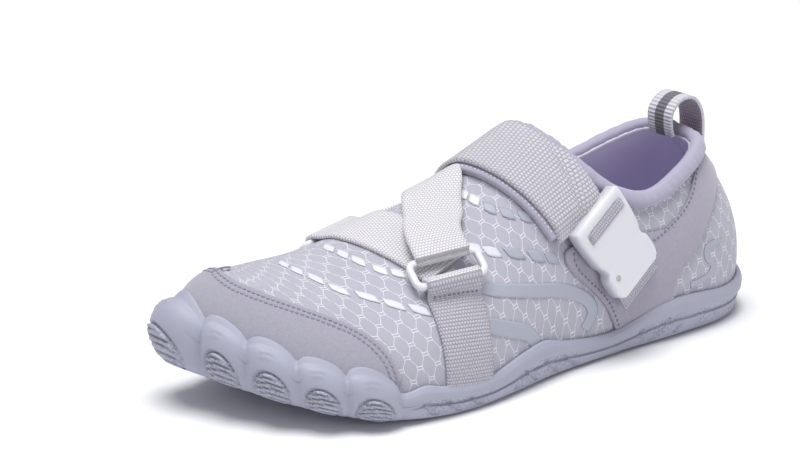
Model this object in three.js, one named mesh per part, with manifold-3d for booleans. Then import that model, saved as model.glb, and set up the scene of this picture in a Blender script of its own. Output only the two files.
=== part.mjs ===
// A left water shoe, in millimetres: +X to the toe, +Y to the outer side, +Z up.
// The origin is on the floor, at the middle of the heel's flat resting patch.
import * as THREE from "three";
import { mergeVertices } from "three/addons/utils/BufferGeometryUtils.js";
import Module from "manifold-3d";

const wasm = await Module();
wasm.setup();

// Driving sizes of the upper
const LENGTH = 246; // heel to toe, along the upper's lower edge
const BALL_WIDTH = 90; // across the upper at the ball
const INSTEP_HEIGHT = 78.2; // ridge over the lower edge, at the throat
const HEEL_HEIGHT = 68; // back of the collar over the lower edge
const HEEL_BULGE = 4; // how far the heel swells past its lower edge
const WALL = 2.2; // upper's fabric and lining
const TOE_SPRING = 15; // rise of the toe's tip
const THROAT_AT = 0.405; // front of the collar, as a share of LENGTH
const GAP = 0.3; // between pieces that meet

// Driving sizes of the sole
const SOLE_THICKNESS = 5.5; // floor to the foot bed
const RAND = 2.8; // rubber over the upper's lower edge
const LOBE_SWELL = 3.4; // how far a toe lobe stands out
const LOBE_RISE = 5.5; // how far a lobe rises over the notch beside it
const SOLE_BEVEL = 3.5; // the bottom edge's tuck-in
const GROOVE = { wide: 2.4, deep: 1.4 }; // between the side's blocks and between the bottom's lugs
const INSOLE = 3;

// Driving sizes of the webbing and its fittings
const CROSS_WEBBING = { width: 22, thick: 1.5 };
const TOP_WEBBING = { width: 26, thick: 1.6 };
const PAD = { width: 30, thick: 3.2 };
const OVERLAY = 1.1; // toe cap and heel overlay
const BINDING = { thick: 1.6, depth: 6.5 };
const LOOP = { width: 13, thick: 1.4, reach: 15, rise: 11 };
const RING = { length: 31, height: 13, bar: 2.8 };
const BUCKLE = { width: 30, length: 35, thick: 6.5, slot: 3 };
const TAB = { width: 22, length: 29, thick: 3 };

const HEEL_REST_AT = 34; // from the upper's back edge to the resting patch's middle

// Plan of the upper's lower edge, from the heel to the toe: shares of LENGTH and BALL_WIDTH
const PLAN = [
  { at: 0.0, outer: 0.0, inner: 0.0 },
  { at: 0.024, outer: 0.19, inner: -0.19 },
  { at: 0.09, outer: 0.31, inner: -0.305 },
  { at: 0.2, outer: 0.352, inner: -0.325 },
  { at: 0.33, outer: 0.362, inner: -0.305 },
  { at: 0.455, outer: 0.4, inner: -0.315 },
  { at: 0.58, outer: 0.475, inner: -0.395 },
  { at: 0.69, outer: 0.515, inner: -0.475 },
  { at: 0.8, outer: 0.482, inner: -0.495 },
  { at: 0.885, outer: 0.375, inner: -0.48 },
  { at: 0.945, outer: 0.19, inner: -0.44 },
  { at: 0.985, outer: -0.06, inner: -0.375 },
  { at: 1.0, outer: -0.25, inner: -0.25 },
];
const TOE_ROW = PLAN.length - 1;

// Ridge of the vamp, where both sides meet: shares of LENGTH, BALL_WIDTH and INSTEP_HEIGHT
const RIDGE = [
  { at: 0.0, y: 0.0, z: 0.9 },
  { at: 0.2, y: 0.0, z: 0.96 },
  { at: 0.4, y: -0.03, z: 1.0 },
  { at: 0.46, y: -0.04, z: 0.93 },
  { at: 0.52, y: -0.05, z: 0.845 },
  { at: 0.6, y: -0.08, z: 0.755 },
  { at: 0.7, y: -0.12, z: 0.66 },
  { at: 0.8, y: -0.17, z: 0.57 },
  { at: 0.87, y: -0.2, z: 0.515 },
  { at: 0.93, y: -0.23, z: 0.44 },
  { at: 1.0, y: -0.27, z: 0.3 },
];

// Collar: how wide it stays against the lower edge, its height as shares of HEEL_HEIGHT, the swell of the wall,
// and lean, the angle in degrees at which the wall stops turning inwards
const COLLAR = [
  { at: 0.0, width: 0.52, outer: 1.0, inner: 1.0, swell: 1.0, lean: 48 },
  { at: 0.08, width: 0.56, outer: 0.97, inner: 0.98, swell: 0.95, lean: 48 },
  { at: 0.16, width: 0.68, outer: 0.85, inner: 0.9, swell: 0.8, lean: 50 },
  { at: 0.24, width: 0.74, outer: 0.76, inner: 0.83, swell: 0.6, lean: 54 },
  { at: 0.31, width: 0.7, outer: 0.83, inner: 0.88, swell: 0.5, lean: 64 },
  { at: 0.36, width: 0.52, outer: 0.98, inner: 1.0, swell: 0.45, lean: 76 },
  { at: 0.39, width: 0.27, outer: 1.1, inner: 1.11, swell: 0.4, lean: 86 },
  { at: THROAT_AT, width: 0.0, outer: 1.15, inner: 1.15, swell: 0.4, lean: 90 },
  { at: 0.6, width: 0.0, outer: 1.0, inner: 1.0, swell: 0.35, lean: 90 },
  { at: 1.0, width: 0.0, outer: 0.6, inner: 0.6, swell: 0.1, lean: 90 },
];

const lerp = (a, b, t) => a + (b - a) * t;
const clamp = (v, lo, hi) => Math.min(hi, Math.max(lo, v));
const smooth = (v) => v * v * (3 - 2 * v);

// A value of a table at a share, on a smooth curve through its rows.
function along(table, column, at) {
  const rows = table;
  const last = rows.length - 1;
  const s = clamp(at, rows[0].at, rows[last].at);
  let k = 0;
  while (k < last - 1 && rows[k + 1].at < s) k++;
  const slope = (i) => {
    const lo = Math.max(0, i - 1);
    const hi = Math.min(last, i + 1);
    return (rows[hi][column] - rows[lo][column]) / (rows[hi].at - rows[lo].at);
  };
  const h = rows[k + 1].at - rows[k].at;
  const t = (s - rows[k].at) / h;
  const [a, b] = [rows[k][column], rows[k + 1][column]];
  return (
    a * (1 + 2 * t) * (1 - t) ** 2 +
    slope(k) * h * t * (1 - t) ** 2 +
    b * t * t * (3 - 2 * t) +
    slope(k + 1) * h * t * t * (t - 1)
  );
}

// Point of the plan at c: rows 0 to TOE_ROW run up the outer side, and on to 2 TOE_ROW back down the inner side.
function planAt(c) {
  const around = 2 * TOE_ROW;
  const corner = (i) => {
    const k = ((i % around) + around) % around;
    const row = PLAN[k <= TOE_ROW ? k : around - k];
    return [row.at * LENGTH, (k <= TOE_ROW ? row.outer : row.inner) * BALL_WIDTH];
  };
  const i = Math.floor(c);
  const f = c - i;
  const [p0, p1, p2, p3] = [-1, 0, 1, 2].map((k) => corner(i + k));
  const curve = (k) =>
    0.5 *
    (2 * p1[k] +
      (p2[k] - p0[k]) * f +
      (2 * p0[k] - 5 * p1[k] + 4 * p2[k] - p3[k]) * f * f +
      (3 * p1[k] - p0[k] - 3 * p2[k] + p3[k]) * f * f * f);
  return [curve(0), curve(1)];
}

// Outward direction of the plan at c.
function planNormal(c) {
  const step = 0.01;
  const [a, b] = [planAt(c - step), planAt(c + step)];
  const d = new THREE.Vector2(b[0] - a[0], b[1] - a[1]).normalize();
  return [-d.y, d.x];
}

// Rise of the sprung toe over x.
const SPRING_FROM = 0.7 * LENGTH;
const springAt = (x) =>
  x <= SPRING_FROM ? 0 : TOE_SPRING * ((x - SPRING_FROM) / (LENGTH - SPRING_FROM)) ** 2;

// Stations of the ribs, as shares of LENGTH: closer at the heel, the throat and the toe.
const STATION_RUNS = [
  { from: 0, to: 0.006, steps: 2 },
  { from: 0.006, to: 0.04, steps: 3 },
  { from: 0.04, to: 0.36, steps: 9 },
  { from: 0.36, to: THROAT_AT, steps: 4 },
  { from: THROAT_AT, to: 0.86, steps: 11 },
  { from: 0.86, to: 0.975, steps: 5 },
  { from: 0.975, to: 0.998, steps: 3 },
  { from: 0.998, to: 1, steps: 1 },
];
const STATIONS = STATION_RUNS.flatMap((run) =>
  Array.from({ length: run.steps }, (_, i) => lerp(run.from, run.to, i / run.steps)),
).concat(1);
const RIB_STEPS = 6;
const RIB_ROUND = 1.15; // how soon a rib starts to turn inwards
const RIB_RISE = 0.9; // how full its shoulder is

// Place on the plan where its x reaches a share of LENGTH, on the outer or the inner side.
function planPlace(side, share) {
  let [lo, hi] = [0, TOE_ROW];
  for (let k = 0; k < 40; k++) {
    const mid = (lo + hi) / 2;
    if (planAt(mid)[0] < share * LENGTH) lo = mid;
    else hi = mid;
  }
  const c = share >= 1 ? TOE_ROW : share <= 0 ? 0 : (lo + hi) / 2;
  return side === "outer" ? c : 2 * TOE_ROW - c;
}

// Where a rib ends at the top, as a share of LENGTH: the ribs fan out at the toe and at the heel.
const topShare = (s) => (s > 0.8 ? s - 2 * (s - 0.8) ** 2 : s < 0.2 ? s + 2.2 * (0.2 - s) ** 2 : s);

// Point of the upper's outer face over a place on the plan: v runs from 0 at the lower edge to 1 at the top,
// or the point at a height over the foot bed, if that is given instead.
function ribPoint(c, v, height = null) {
  const [fx, fy] = planAt(c);
  const share = clamp(fx / LENGTH, 0, 1);
  const at = topShare(share);
  const onVamp = share >= THROAT_AT;
  const ridgeY = along(RIDGE, "y", at) * BALL_WIDTH;
  const width = onVamp ? 0 : along(COLLAR, "width", at);
  const topY = ridgeY + (fy - ridgeY) * width;
  const topZ = onVamp
    ? along(RIDGE, "z", at) * INSTEP_HEIGHT
    : along(COLLAR, c <= TOE_ROW ? "outer" : "inner", at) * HEEL_HEIGHT;
  const lean = THREE.MathUtils.degToRad(Math.min(90, along(COLLAR, "lean", at)));
  const full = Math.sin(lean) ** RIB_RISE;
  const share01 = height === null ? 0 : clamp(height / topZ, 0, 1);
  const turn = height === null ? v * lean : Math.asin((share01 * full) ** (1 / RIB_RISE));
  const level = (angle) => 1 - Math.max(0, Math.cos(angle)) ** RIB_ROUND;
  const across = level(turn) / level(lean);
  const up = Math.sin(turn) ** RIB_RISE / full;
  const [nx, ny] = planNormal(c);
  const wave = Math.sin(Math.PI * Math.min(1, (1.15 * turn) / lean) ** 0.8);
  const swell = along(COLLAR, "swell", at) * HEEL_BULGE * wave;
  const x = lerp(fx, at * LENGTH, across) + nx * swell;
  const y = lerp(fy, topY, across) + ny * swell;
  return new THREE.Vector3(x, y, SOLE_THICKNESS + topZ * up);
}

// The outer face as one net of ribs, with its outward normals, still without the toe's spring.
function upperNet(steps = RIB_STEPS) {
  const count = STATIONS.length;
  const points = [];
  const index = new Map();
  const at = (side, i, j) => {
    const shared = i === 0 || i === count - 1 || (j === steps && STATIONS[i] >= THROAT_AT);
    const key = `${shared ? "both" : side}/${i}/${j}`;
    if (!index.has(key)) {
      index.set(key, points.length);
      points.push(ribPoint(planPlace(side, STATIONS[i]), j / steps));
    }
    return index.get(key);
  };
  const faces = [];
  const add = (side, a, b, c) => {
    if (a === b || b === c || a === c) return;
    faces.push(side === "outer" ? [a, b, c] : [a, c, b]);
  };
  for (const side of ["outer", "inner"]) {
    for (let i = 0; i < count - 1; i++) {
      for (let j = 0; j < steps; j++) {
        add(side, at(side, i, j), at(side, i, j + 1), at(side, i + 1, j + 1));
        add(side, at(side, i, j), at(side, i + 1, j + 1), at(side, i + 1, j));
      }
    }
  }
  const normals = points.map(() => new THREE.Vector3());
  for (const [a, b, c] of faces) {
    const n = points[b].clone().sub(points[a]).cross(points[c].clone().sub(points[a]));
    for (const k of [a, b, c]) normals[k].add(n);
  }
  normals.forEach((n) => n.normalize());
  const bottom = (side, i) => at(side, i, 0);
  const top = (side, i) => at(side, i, steps);
  return { points, normals, faces, bottom, top };
}

const NET = upperNet();

// Lower-edge normals lie level, so that every layer of the upper ends on the same floor.
for (let i = 0; i < STATIONS.length; i++) {
  for (const side of ["outer", "inner"]) NET.normals[NET.bottom(side, i)].setZ(0).normalize();
}

// The collar's edge, up the outer side from the heel to the throat and back down the inner side.
const THROAT = STATIONS.findIndex((s) => s >= THROAT_AT);
const RIM = [
  ...Array.from({ length: THROAT + 1 }, (_, i) => NET.top("outer", i)),
  ...Array.from({ length: THROAT - 1 }, (_, i) => NET.top("inner", THROAT - 1 - i)),
];

// Direction in the wall, off its edge into the opening, at each point of the rim.
const RIM_RISE = RIM.map((k, i) => {
  const next = NET.points[RIM[(i + 1) % RIM.length]];
  const back = NET.points[RIM[(i + RIM.length - 1) % RIM.length]];
  return next.clone().sub(back).normalize().cross(NET.normals[k]).normalize();
});

const skin = (offset) =>
  NET.points.map((p, k) => p.clone().addScaledVector(NET.normals[k], offset));

// A closed solid of triangles, with the toe's spring put in.
function solid(points, faces) {
  const spots = new Float32Array(points.length * 3);
  points.forEach((p, k) => spots.set([p.x, p.y, p.z + springAt(p.x)], 3 * k));
  const mesh = new wasm.Mesh({
    numProp: 3,
    vertProperties: spots,
    triVerts: Uint32Array.from(faces.flat()),
  });
  mesh.merge();
  return new wasm.Manifold(mesh);
}

// Edges of a net that only one face holds, in that face's direction.
function openEdges(faces) {
  const seen = new Set(faces.flatMap(([a, b, c]) => [`${a},${b}`, `${b},${c}`, `${c},${a}`]));
  return [...seen].map((e) => e.split(",").map(Number)).filter(([a, b]) => !seen.has(`${b},${a}`));
}

// Layer of the upper between two distances from its outer face, open below and at the collar,
// where its edge may stand higher by a rise.
function layer(near, far, rise = 0) {
  const count = NET.points.length;
  const points = [...skin(far), ...skin(near)];
  RIM.forEach((k, i) => {
    points[k].addScaledVector(RIM_RISE[i], rise);
    points[k + count].addScaledVector(RIM_RISE[i], rise);
  });
  const faces = NET.faces.map((f) => [...f]);
  for (const [a, b, c] of NET.faces) faces.push([a + count, c + count, b + count]);
  for (const [a, b] of openEdges(NET.faces)) {
    faces.push([b, a, a + count], [b, a + count, b + count]);
  }
  return solid(points, faces);
}

// Everything inside the upper's outer face, grown by a distance and sunk below the foot bed by a depth.
function core(grow, sink = 0) {
  const points = skin(grow);
  const faces = NET.faces.map((f) => [...f]);
  const last = STATIONS.length - 1;
  const close = (edge, upward) => {
    for (let i = 0; i < last; i++) {
      const ring = [edge("outer", i), edge("inner", i), edge("inner", i + 1), edge("outer", i + 1)];
      const [a, b, c, d] = upward ? ring : [...ring].reverse();
      for (const f of [[a, b, c], [a, c, d]]) if (new Set(f).size === 3) faces.push(f);
    }
  };
  close(NET.bottom, false);
  for (let i = 0; i < THROAT; i++) {
    const ring = [NET.top("outer", i), NET.top("inner", i), NET.top("inner", i + 1), NET.top("outer", i + 1)];
    for (const f of [[ring[0], ring[1], ring[2]], [ring[0], ring[2], ring[3]]]) {
      if (new Set(f).size === 3) faces.push(f);
    }
  }
  for (let i = 0; i <= last; i++) {
    for (const side of ["outer", "inner"]) points[NET.bottom(side, i)].z = SOLE_THICKNESS - sink;
  }
  return solid(points, faces);
}

// Top of the rubber over the foot bed, by place on the plan: row 12 is the toe's tip, row 24 the heel again
const RAND_TOP = [
  { at: 0, z: 10.5 },
  { at: 1, z: 9.5 },
  { at: 2, z: 8.8 },
  { at: 3, z: 11 },
  { at: 3.4, z: 9.5 },
  { at: 4.2, z: 4.2 },
  { at: 5, z: 7 },
  { at: 5.4, z: 10.3 },
  { at: 5.8, z: 9.3 },
  { at: 6.6, z: 4.8 },
  { at: 7.3, z: 6 },
  { at: 7.8, z: 9 },
  { at: 8.5, z: 14 },
  { at: 9.3, z: 14.6 },
  { at: 10.05, z: 16.8 },
  { at: 10.9, z: 19.3 },
  { at: 12.1, z: 24.5 },
  { at: 13.2, z: 22 },
  { at: 14.2, z: 15 },
  { at: 16, z: 9 },
  { at: 18, z: 7.5 },
  { at: 20, z: 8 },
  { at: 22, z: 9 },
  { at: 24, z: 10.5 },
];

// Toe lobes, from the little toe to the great toe: where each begins and ends on the plan
const LOBES = [
  { name: "fifth", from: 8.05, to: 8.88, swell: 1 },
  { name: "fourth", from: 8.88, to: 9.65, swell: 1 },
  { name: "third", from: 9.65, to: 10.45, swell: 1 },
  { name: "second", from: 10.45, to: 11.3, swell: 1 },
  { name: "great", from: 11.3, to: 13.9, swell: 1.7 },
];

// Side of the sole from the floor up: share of the rand's height, and how far it stands out past the rand
const SIDE = [
  { up: 0.0, out: -SOLE_BEVEL },
  { up: 0.1, out: -0.9 },
  { up: 0.42, out: 0.5 },
  { up: 0.45, out: -0.4 },
  { up: 0.5, out: -0.4 },
  { up: 0.53, out: 0.5 },
  { up: 0.85, out: 0.2 },
  { up: 1.0, out: -0.9 },
];
const SIDE_OUT = SIDE.map(({ up, out }) => ({ at: up, out }));
const AROUND_STEPS = 5; // columns of the side between two rows of the plan
const ARCH = { from: 62, to: 132, rise: 2.2 }; // hollow under the waist, from the upper's back edge

const archAt = (x) => {
  const t = clamp((x - ARCH.from) / (ARCH.to - ARCH.from), 0, 1);
  return ARCH.rise * Math.sin(Math.PI * t) ** 2;
};

// The lobe at a place on the plan: round is 1 in its middle, and 0 in a notch and behind the toes.
function lobeAt(c) {
  const lobe = LOBES.find((l) => c >= l.from && c <= l.to);
  if (!lobe) return { round: 0, swell: 0 };
  const t = (2 * c - lobe.from - lobe.to) / (lobe.to - lobe.from);
  const round = Math.sqrt(Math.max(0, 1 - t * t));
  return { round, swell: round * lobe.swell * LOBE_SWELL };
}
const toeShare = (c) => smooth(clamp((c - LOBES[0].from + 0.5) / 0.5, 0, 1)) * smooth(clamp((14.4 - c) / 0.5, 0, 1));

// The sole as a filled block up to the rand's top, grown by a distance.
function soleBlock(grow) {
  const columns = 2 * TOE_ROW * AROUND_STEPS;
  const points = [];
  for (const row of SIDE) {
    for (let k = 0; k < columns; k++) {
      const c = k / AROUND_STEPS;
      const [nx, ny] = planNormal(c);
      const lobe = lobeAt(c);
      const notch = toeShare(c) * (1 - lobe.round);
      const height = SOLE_THICKNESS + along(RAND_TOP, "z", c) - LOBE_RISE * notch + grow;
      const swell = lobe.swell * Math.sin(Math.PI * clamp(row.up + 0.12, 0, 1)) ** 0.5;
      const out = RAND + row.out + swell + grow;
      const wall = ribPoint(c, 0, Math.max(0, height * row.up - SOLE_THICKNESS));
      const z = row.up === 0 ? archAt(wall.x) - grow : height * row.up;
      points.push(new THREE.Vector3(wall.x + nx * out, wall.y + ny * out, z));
    }
  }
  const faces = [];
  const at = (r, k) => r * columns + ((k + columns) % columns);
  for (let r = 0; r < SIDE.length - 1; r++) {
    for (let k = 0; k < columns; k++) {
      faces.push([at(r, k), at(r + 1, k), at(r + 1, k + 1)], [at(r, k), at(r + 1, k + 1), at(r, k + 1)]);
    }
  }
  const half = columns / 2;
  for (const r of [0, SIDE.length - 1]) {
    for (let k = 0; k < half; k++) {
      const ring = [at(r, k), at(r, k + 1), at(r, -k - 1), at(r, -k)];
      const [a, b, c, d] = r === 0 ? ring : [...ring].reverse();
      for (const f of [[a, b, c], [a, c, d]]) if (new Set(f).size === 3) faces.push(f);
    }
  }
  return solid(points, faces);
}

// A level slab over the whole shoe between two heights, sprung with the toe.
function slab(low, high) {
  const from = -30;
  const steps = 60;
  const pitch = (LENGTH + 2 * -from) / steps;
  const points = [];
  const faces = [];
  for (let i = 0; i <= steps; i++) {
    const x = from + i * pitch;
    for (const [y, z] of [[-90, low], [90, low], [90, high], [-90, high]]) {
      points.push(new THREE.Vector3(x, y, z));
    }
  }
  for (let i = 0; i < steps; i++) {
    for (let k = 0; k < 4; k++) {
      const [a, b] = [4 * i + k, 4 * i + ((k + 1) % 4)];
      faces.push([a, b, b + 4], [a, b + 4, a + 4]);
    }
  }
  faces.push([0, 2, 1], [0, 3, 2]);
  const e = 4 * steps;
  faces.push([e, e + 1, e + 2], [e, e + 2, e + 3]);
  return solid(points, faces);
}

// A closed roll along the collar: half width across the wall, half height along it, sunk below the rim.
function rimRoll(across, along, sunk) {
  const sides = 6;
  const points = [];
  const round = (v) => Math.sign(v) * Math.abs(v) ** 0.8;
  RIM.forEach((k, i) => {
    const middle = NET.points[k].clone().addScaledVector(NET.normals[k], -WALL / 2);
    middle.addScaledVector(RIM_RISE[i], -sunk);
    for (let j = 0; j < sides; j++) {
      const turn = (2 * Math.PI * (j + 0.5)) / sides;
      const spot = middle.clone().addScaledVector(NET.normals[k], across * round(Math.cos(turn)));
      points.push(spot.addScaledVector(RIM_RISE[i], along * round(Math.sin(turn))));
    }
  });
  const faces = [];
  const at = (r, j) => (r % RIM.length) * sides + (j % sides);
  for (let k = 0; k < RIM.length; k++) {
    for (let j = 0; j < sides; j++) {
      faces.push([at(k, j), at(k + 1, j + 1), at(k + 1, j)], [at(k, j), at(k, j + 1), at(k + 1, j + 1)]);
    }
  }
  return solid(points, faces);
}

// Grooves across the bottom, by where they cross the sole's middle line, and how far forward they run on the
// outer side
const BOTTOM_GROOVES = [
  { at: 0.1, skew: 6 },
  { at: 0.2, skew: 6 },
  { at: 0.3, skew: 8 },
  { at: 0.57, skew: -12 },
  { at: 0.66, skew: -15 },
  { at: 0.75, skew: -18 },
  { at: 0.84, skew: -20 },
];
// Slanted grooves of the side's blocks: place on the plan, height of the middle, length and slant in degrees
const SIDE_GROOVES = [
  { at: 3.4, z: 8, long: 10, slant: 62 },
  { at: 5.2, z: 8, long: 10, slant: -52 },
  { at: 5.6, z: 9, long: 12, slant: -52 },
  { at: 7.3, z: 8, long: 9, slant: -45 },
  { at: 16.6, z: 9, long: 10, slant: 55 },
  { at: 20.8, z: 8, long: 9, slant: -60 },
];
// Bars across a toe lobe's pad: heights over the floor
const LOBE_GROOVES = [9];

function grooveBar(long, centre, along, out) {
  const box = new THREE.BoxGeometry(long, GROOVE.wide, 2 * GROOVE.deep);
  return toSolid(place(box, frameOf(along, out), centre));
}
const sideAt = (c, z) => {
  const share = clamp(z / (SOLE_THICKNESS + along(RAND_TOP, "z", c)), 0, 1);
  const [nx, ny] = planNormal(c);
  const lobe = lobeAt(c).swell * Math.sin(Math.PI * clamp(share + 0.12, 0, 1)) ** 0.5;
  const wall = ribPoint(c, 0, Math.max(0, z - SOLE_THICKNESS));
  const out = RAND + along(SIDE_OUT, "out", share) + lobe;
  const point = new THREE.Vector3(wall.x + nx * out, wall.y + ny * out, z + springAt(wall.x));
  return { point, out: new THREE.Vector3(nx, ny, 0), level: new THREE.Vector3(ny, -nx, 0) };
};
const grooves = [
  ...BOTTOM_GROOVES.map(({ at, skew }) => {
    const x = at * LENGTH;
    const run = new THREE.Vector3(skew, BALL_WIDTH, 0);
    const middle = new THREE.Vector3(x, -0.05 * BALL_WIDTH, springAt(x));
    const slope = (springAt(x + 1) - springAt(x - 1)) / 2;
    return grooveBar(2 * BALL_WIDTH, middle, run, new THREE.Vector3(-slope, 0, 1));
  }),
  ...SIDE_GROOVES.map(({ at, z, long, slant }) => {
    const { point, out, level } = sideAt(at, z);
    const turn = THREE.MathUtils.degToRad(slant);
    const run = level.multiplyScalar(Math.cos(turn)).add(new THREE.Vector3(0, 0, Math.sin(turn)));
    return grooveBar(long, point, run, out);
  }),
  ...LOBES.flatMap(({ from, to }) =>
    LOBE_GROOVES.map((z) => {
      const middle = (from + to) / 2;
      const { point, out, level } = sideAt(middle, z);
      const [a, b] = [planAt(from), planAt(to)];
      return grooveBar(0.5 * Math.hypot(b[0] - a[0], b[1] - a[1]), point, level, out);
    }),
  ),
];

const upper = layer(-WALL, 0);
const outsole = grooves.reduce((body, bar) => body.subtract(bar), soleBlock(0).subtract(core(GAP, GAP)));
const insole = core(-WALL - GAP).intersect(slab(-1, SOLE_THICKNESS + INSOLE));

// Collar binding: a padded roll that sits astride the upper's edge
const binding = rimRoll(
  WALL / 2 + BINDING.thick,
  BINDING.depth / 2,
  BINDING.depth / 2 - BINDING.thick,
).subtract(layer(-WALL - GAP, GAP, GAP));

// The upper's outer face with the toe's spring, for seating what lies on it
const seatGeometry = new THREE.BufferGeometry();
seatGeometry.setAttribute(
  "position",
  new THREE.BufferAttribute(
    new Float32Array(NET.points.flatMap((p) => [p.x, p.y, p.z + springAt(p.x)])),
    3,
  ),
);
seatGeometry.setIndex(NET.faces.flat());
const seatMesh = new THREE.Mesh(
  seatGeometry,
  new THREE.MeshBasicMaterial({ side: THREE.DoubleSide }),
);

// Where a line from outside first meets the upper: a point, and the outward normal of the face round it.
const SEAT_SPREAD = 9;
function seat(from, toward) {
  const ray = new THREE.Raycaster(new THREE.Vector3(...from), new THREE.Vector3(...toward).normalize());
  const { point } = ray.intersectObject(seatMesh)[0];
  const normal = new THREE.Vector3();
  NET.points.forEach((p, k) => {
    const far = Math.hypot(p.x - point.x, p.y - point.y, p.z + springAt(p.x) - point.z);
    normal.addScaledVector(NET.normals[k], Math.exp(-((far / SEAT_SPREAD) ** 2)));
  });
  return { point, normal: normal.normalize() };
}
const seatDown = (x, y) => seat([x, y, 200], [0, 0, -1]);
const seatSide = (x, z, sign) => seat([x, 200 * sign, z], [0, -sign, 0]);

// A three.js geometry as a solid.
function toSolid(geometry) {
  const bare = geometry.index ? geometry.toNonIndexed() : geometry.clone();
  for (const name of Object.keys(bare.attributes)) {
    if (name !== "position") bare.deleteAttribute(name);
  }
  const merged = mergeVertices(bare, 1e-4);
  return new wasm.Manifold(
    new wasm.Mesh({
      numProp: 3,
      vertProperties: new Float32Array(merged.attributes.position.array),
      triVerts: new Uint32Array(merged.index.array),
    }),
  );
}

// Axes of a fitting: along its length, across it, and out from the upper.
function frameOf(along, out) {
  const a = along.clone().normalize();
  const across = out.clone().cross(a).normalize();
  return { a, across, out: a.clone().cross(across).normalize() };
}
function place(geometry, frame, centre) {
  const basis = new THREE.Matrix4().makeBasis(frame.a, frame.across, frame.out);
  return geometry.clone().applyMatrix4(basis.setPosition(centre));
}

// A length of webbing or pad lying on the upper from one seat to another, between two distances from it.
function strip({ from, to, width, near, thick, before = 0, beyond = 0, deep = 16 }) {
  const run = to.point.clone().sub(from.point);
  const out = from.normal.clone().add(to.normal).normalize();
  const frame = frameOf(run, out);
  const long = run.length() + before + beyond;
  const box = new THREE.BoxGeometry(long, width, 2 * deep);
  const centre = from.point.clone().addScaledVector(frame.a, long / 2 - before);
  return layer(near, near + thick).intersect(toSolid(place(box, frame, centre)));
}

// A rectangular loop of round-cornered bar, lying over a seat with its long bars along a direction.
function ring(spot, along, lift, grow = 0) {
  const length = RING.length + 2 * grow;
  const height = RING.height + 2 * grow;
  const bar = RING.bar + 2 * grow;
  const outline = (l, h, r, path) => {
    path.moveTo(-l / 2 + r, -h / 2);
    path.lineTo(l / 2 - r, -h / 2);
    path.absarc(l / 2 - r, -h / 2 + r, r, -Math.PI / 2, 0);
    path.lineTo(l / 2, h / 2 - r);
    path.absarc(l / 2 - r, h / 2 - r, r, 0, Math.PI / 2);
    path.lineTo(-l / 2 + r, h / 2);
    path.absarc(-l / 2 + r, h / 2 - r, r, Math.PI / 2, Math.PI);
    path.lineTo(-l / 2, -h / 2 + r);
    path.absarc(-l / 2 + r, -h / 2 + r, r, Math.PI, 1.5 * Math.PI);
    return path;
  };
  const shape = outline(length, height, 3.4, new THREE.Shape());
  shape.holes.push(outline(length - 2 * bar, height - 2 * bar, 1, new THREE.Path()));
  const geometry = new THREE.ExtrudeGeometry(shape, { depth: bar, bevelEnabled: false, curveSegments: 2 });
  geometry.translate(0, 0, -bar / 2);
  const frame = frameOf(along, spot.normal);
  const centre = spot.point.clone().addScaledVector(frame.out, lift);
  const zone = grow === 0 ? ring(spot, along, lift, GAP).body : null;
  return { body: toSolid(place(geometry, frame, centre)), frame, centre, zone };
}

// Webbing folded round a ring's bar: side is +1 or -1, the bar's side of the ring.
function fold(loop, side, width, thick) {
  const inner = (RING.bar * Math.SQRT2) / 2 + 0.1;
  const round = new THREE.Shape().absarc(0, 0, inner + thick, 0, 2 * Math.PI);
  round.holes.push(new THREE.Path().absarc(0, 0, inner, 0, 2 * Math.PI));
  const geometry = new THREE.ExtrudeGeometry(round, { depth: width, bevelEnabled: false, curveSegments: 6 });
  geometry.translate(0, 0, -width / 2);
  const { a, across, out } = loop.frame;
  const offset = side * (RING.height / 2 - RING.bar / 2);
  const centre = loop.centre.clone().addScaledVector(across, offset);
  return toSolid(place(geometry, { a: across, across: out, out: a }, centre));
}
// What the rand covers, grown by the gap that is left round it
const randZone = soleBlock(GAP).add(soleBlock(0));

// A sheet of the upper's overlay inside an outline drawn from above or from the side.
function overlay(outline, fromSide, thick) {
  const shape = new THREE.Shape(outline.map(([a, b]) => new THREE.Vector2(a, b)));
  const geometry = new THREE.ExtrudeGeometry(shape, { depth: 240, bevelEnabled: false });
  geometry.translate(0, 0, -120);
  if (fromSide) geometry.rotateX(Math.PI / 2);
  return layer(GAP, GAP + thick).intersect(toSolid(geometry)).subtract(randZone);
}
const smoothLine = (points, steps) =>
  new THREE.SplineCurve(points.map(([a, b]) => new THREE.Vector2(a, b)))
    .getPoints(steps)
    .map((p) => [p.x, p.y]);

// Toe cap: its rear edge from the outer side over the ridge to the inner side, from above
const CAP_EDGE = [
  [192, 62],
  [197.5, 41],
  [204.5, 31],
  [212, 23],
  [220, 13],
  [227, 1],
  [231, -14],
  [227, -30],
  [214, -42],
  [204, -52],
  [200, -62],
];
const toeCap = overlay(
  [...smoothLine(CAP_EDGE, 24), [280, -62], [280, 62]],
  false,
  OVERLAY,
);

// Heel overlay: a swept band from the heel's top to the rand, wide at the front where it carries the buckle
const HEEL_FRONT = [
  [17, 72],
  [30, 62],
  [40, 51.5],
  [51, 45],
  [68, 40],
  [90, 46],
  [106, 46],
  [107, 39],
  [95, 27.5],
  [88, 19.5],
  [82, 8],
];
const HEEL_REAR = [
  [54, 8],
  [52.5, 23],
  [45, 30],
  [36, 37],
  [28, 46],
  [18, 57],
  [10, 66],
];
const heelOverlay = overlay(
  [...smoothLine(HEEL_FRONT, 26), ...smoothLine(HEEL_REAR, 14), [6, 72]],
  true,
  OVERLAY,
).subtract(rimRoll(WALL / 2 + BINDING.thick + GAP, BINDING.depth / 2 + GAP, BINDING.depth / 2 - BINDING.thick));

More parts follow.
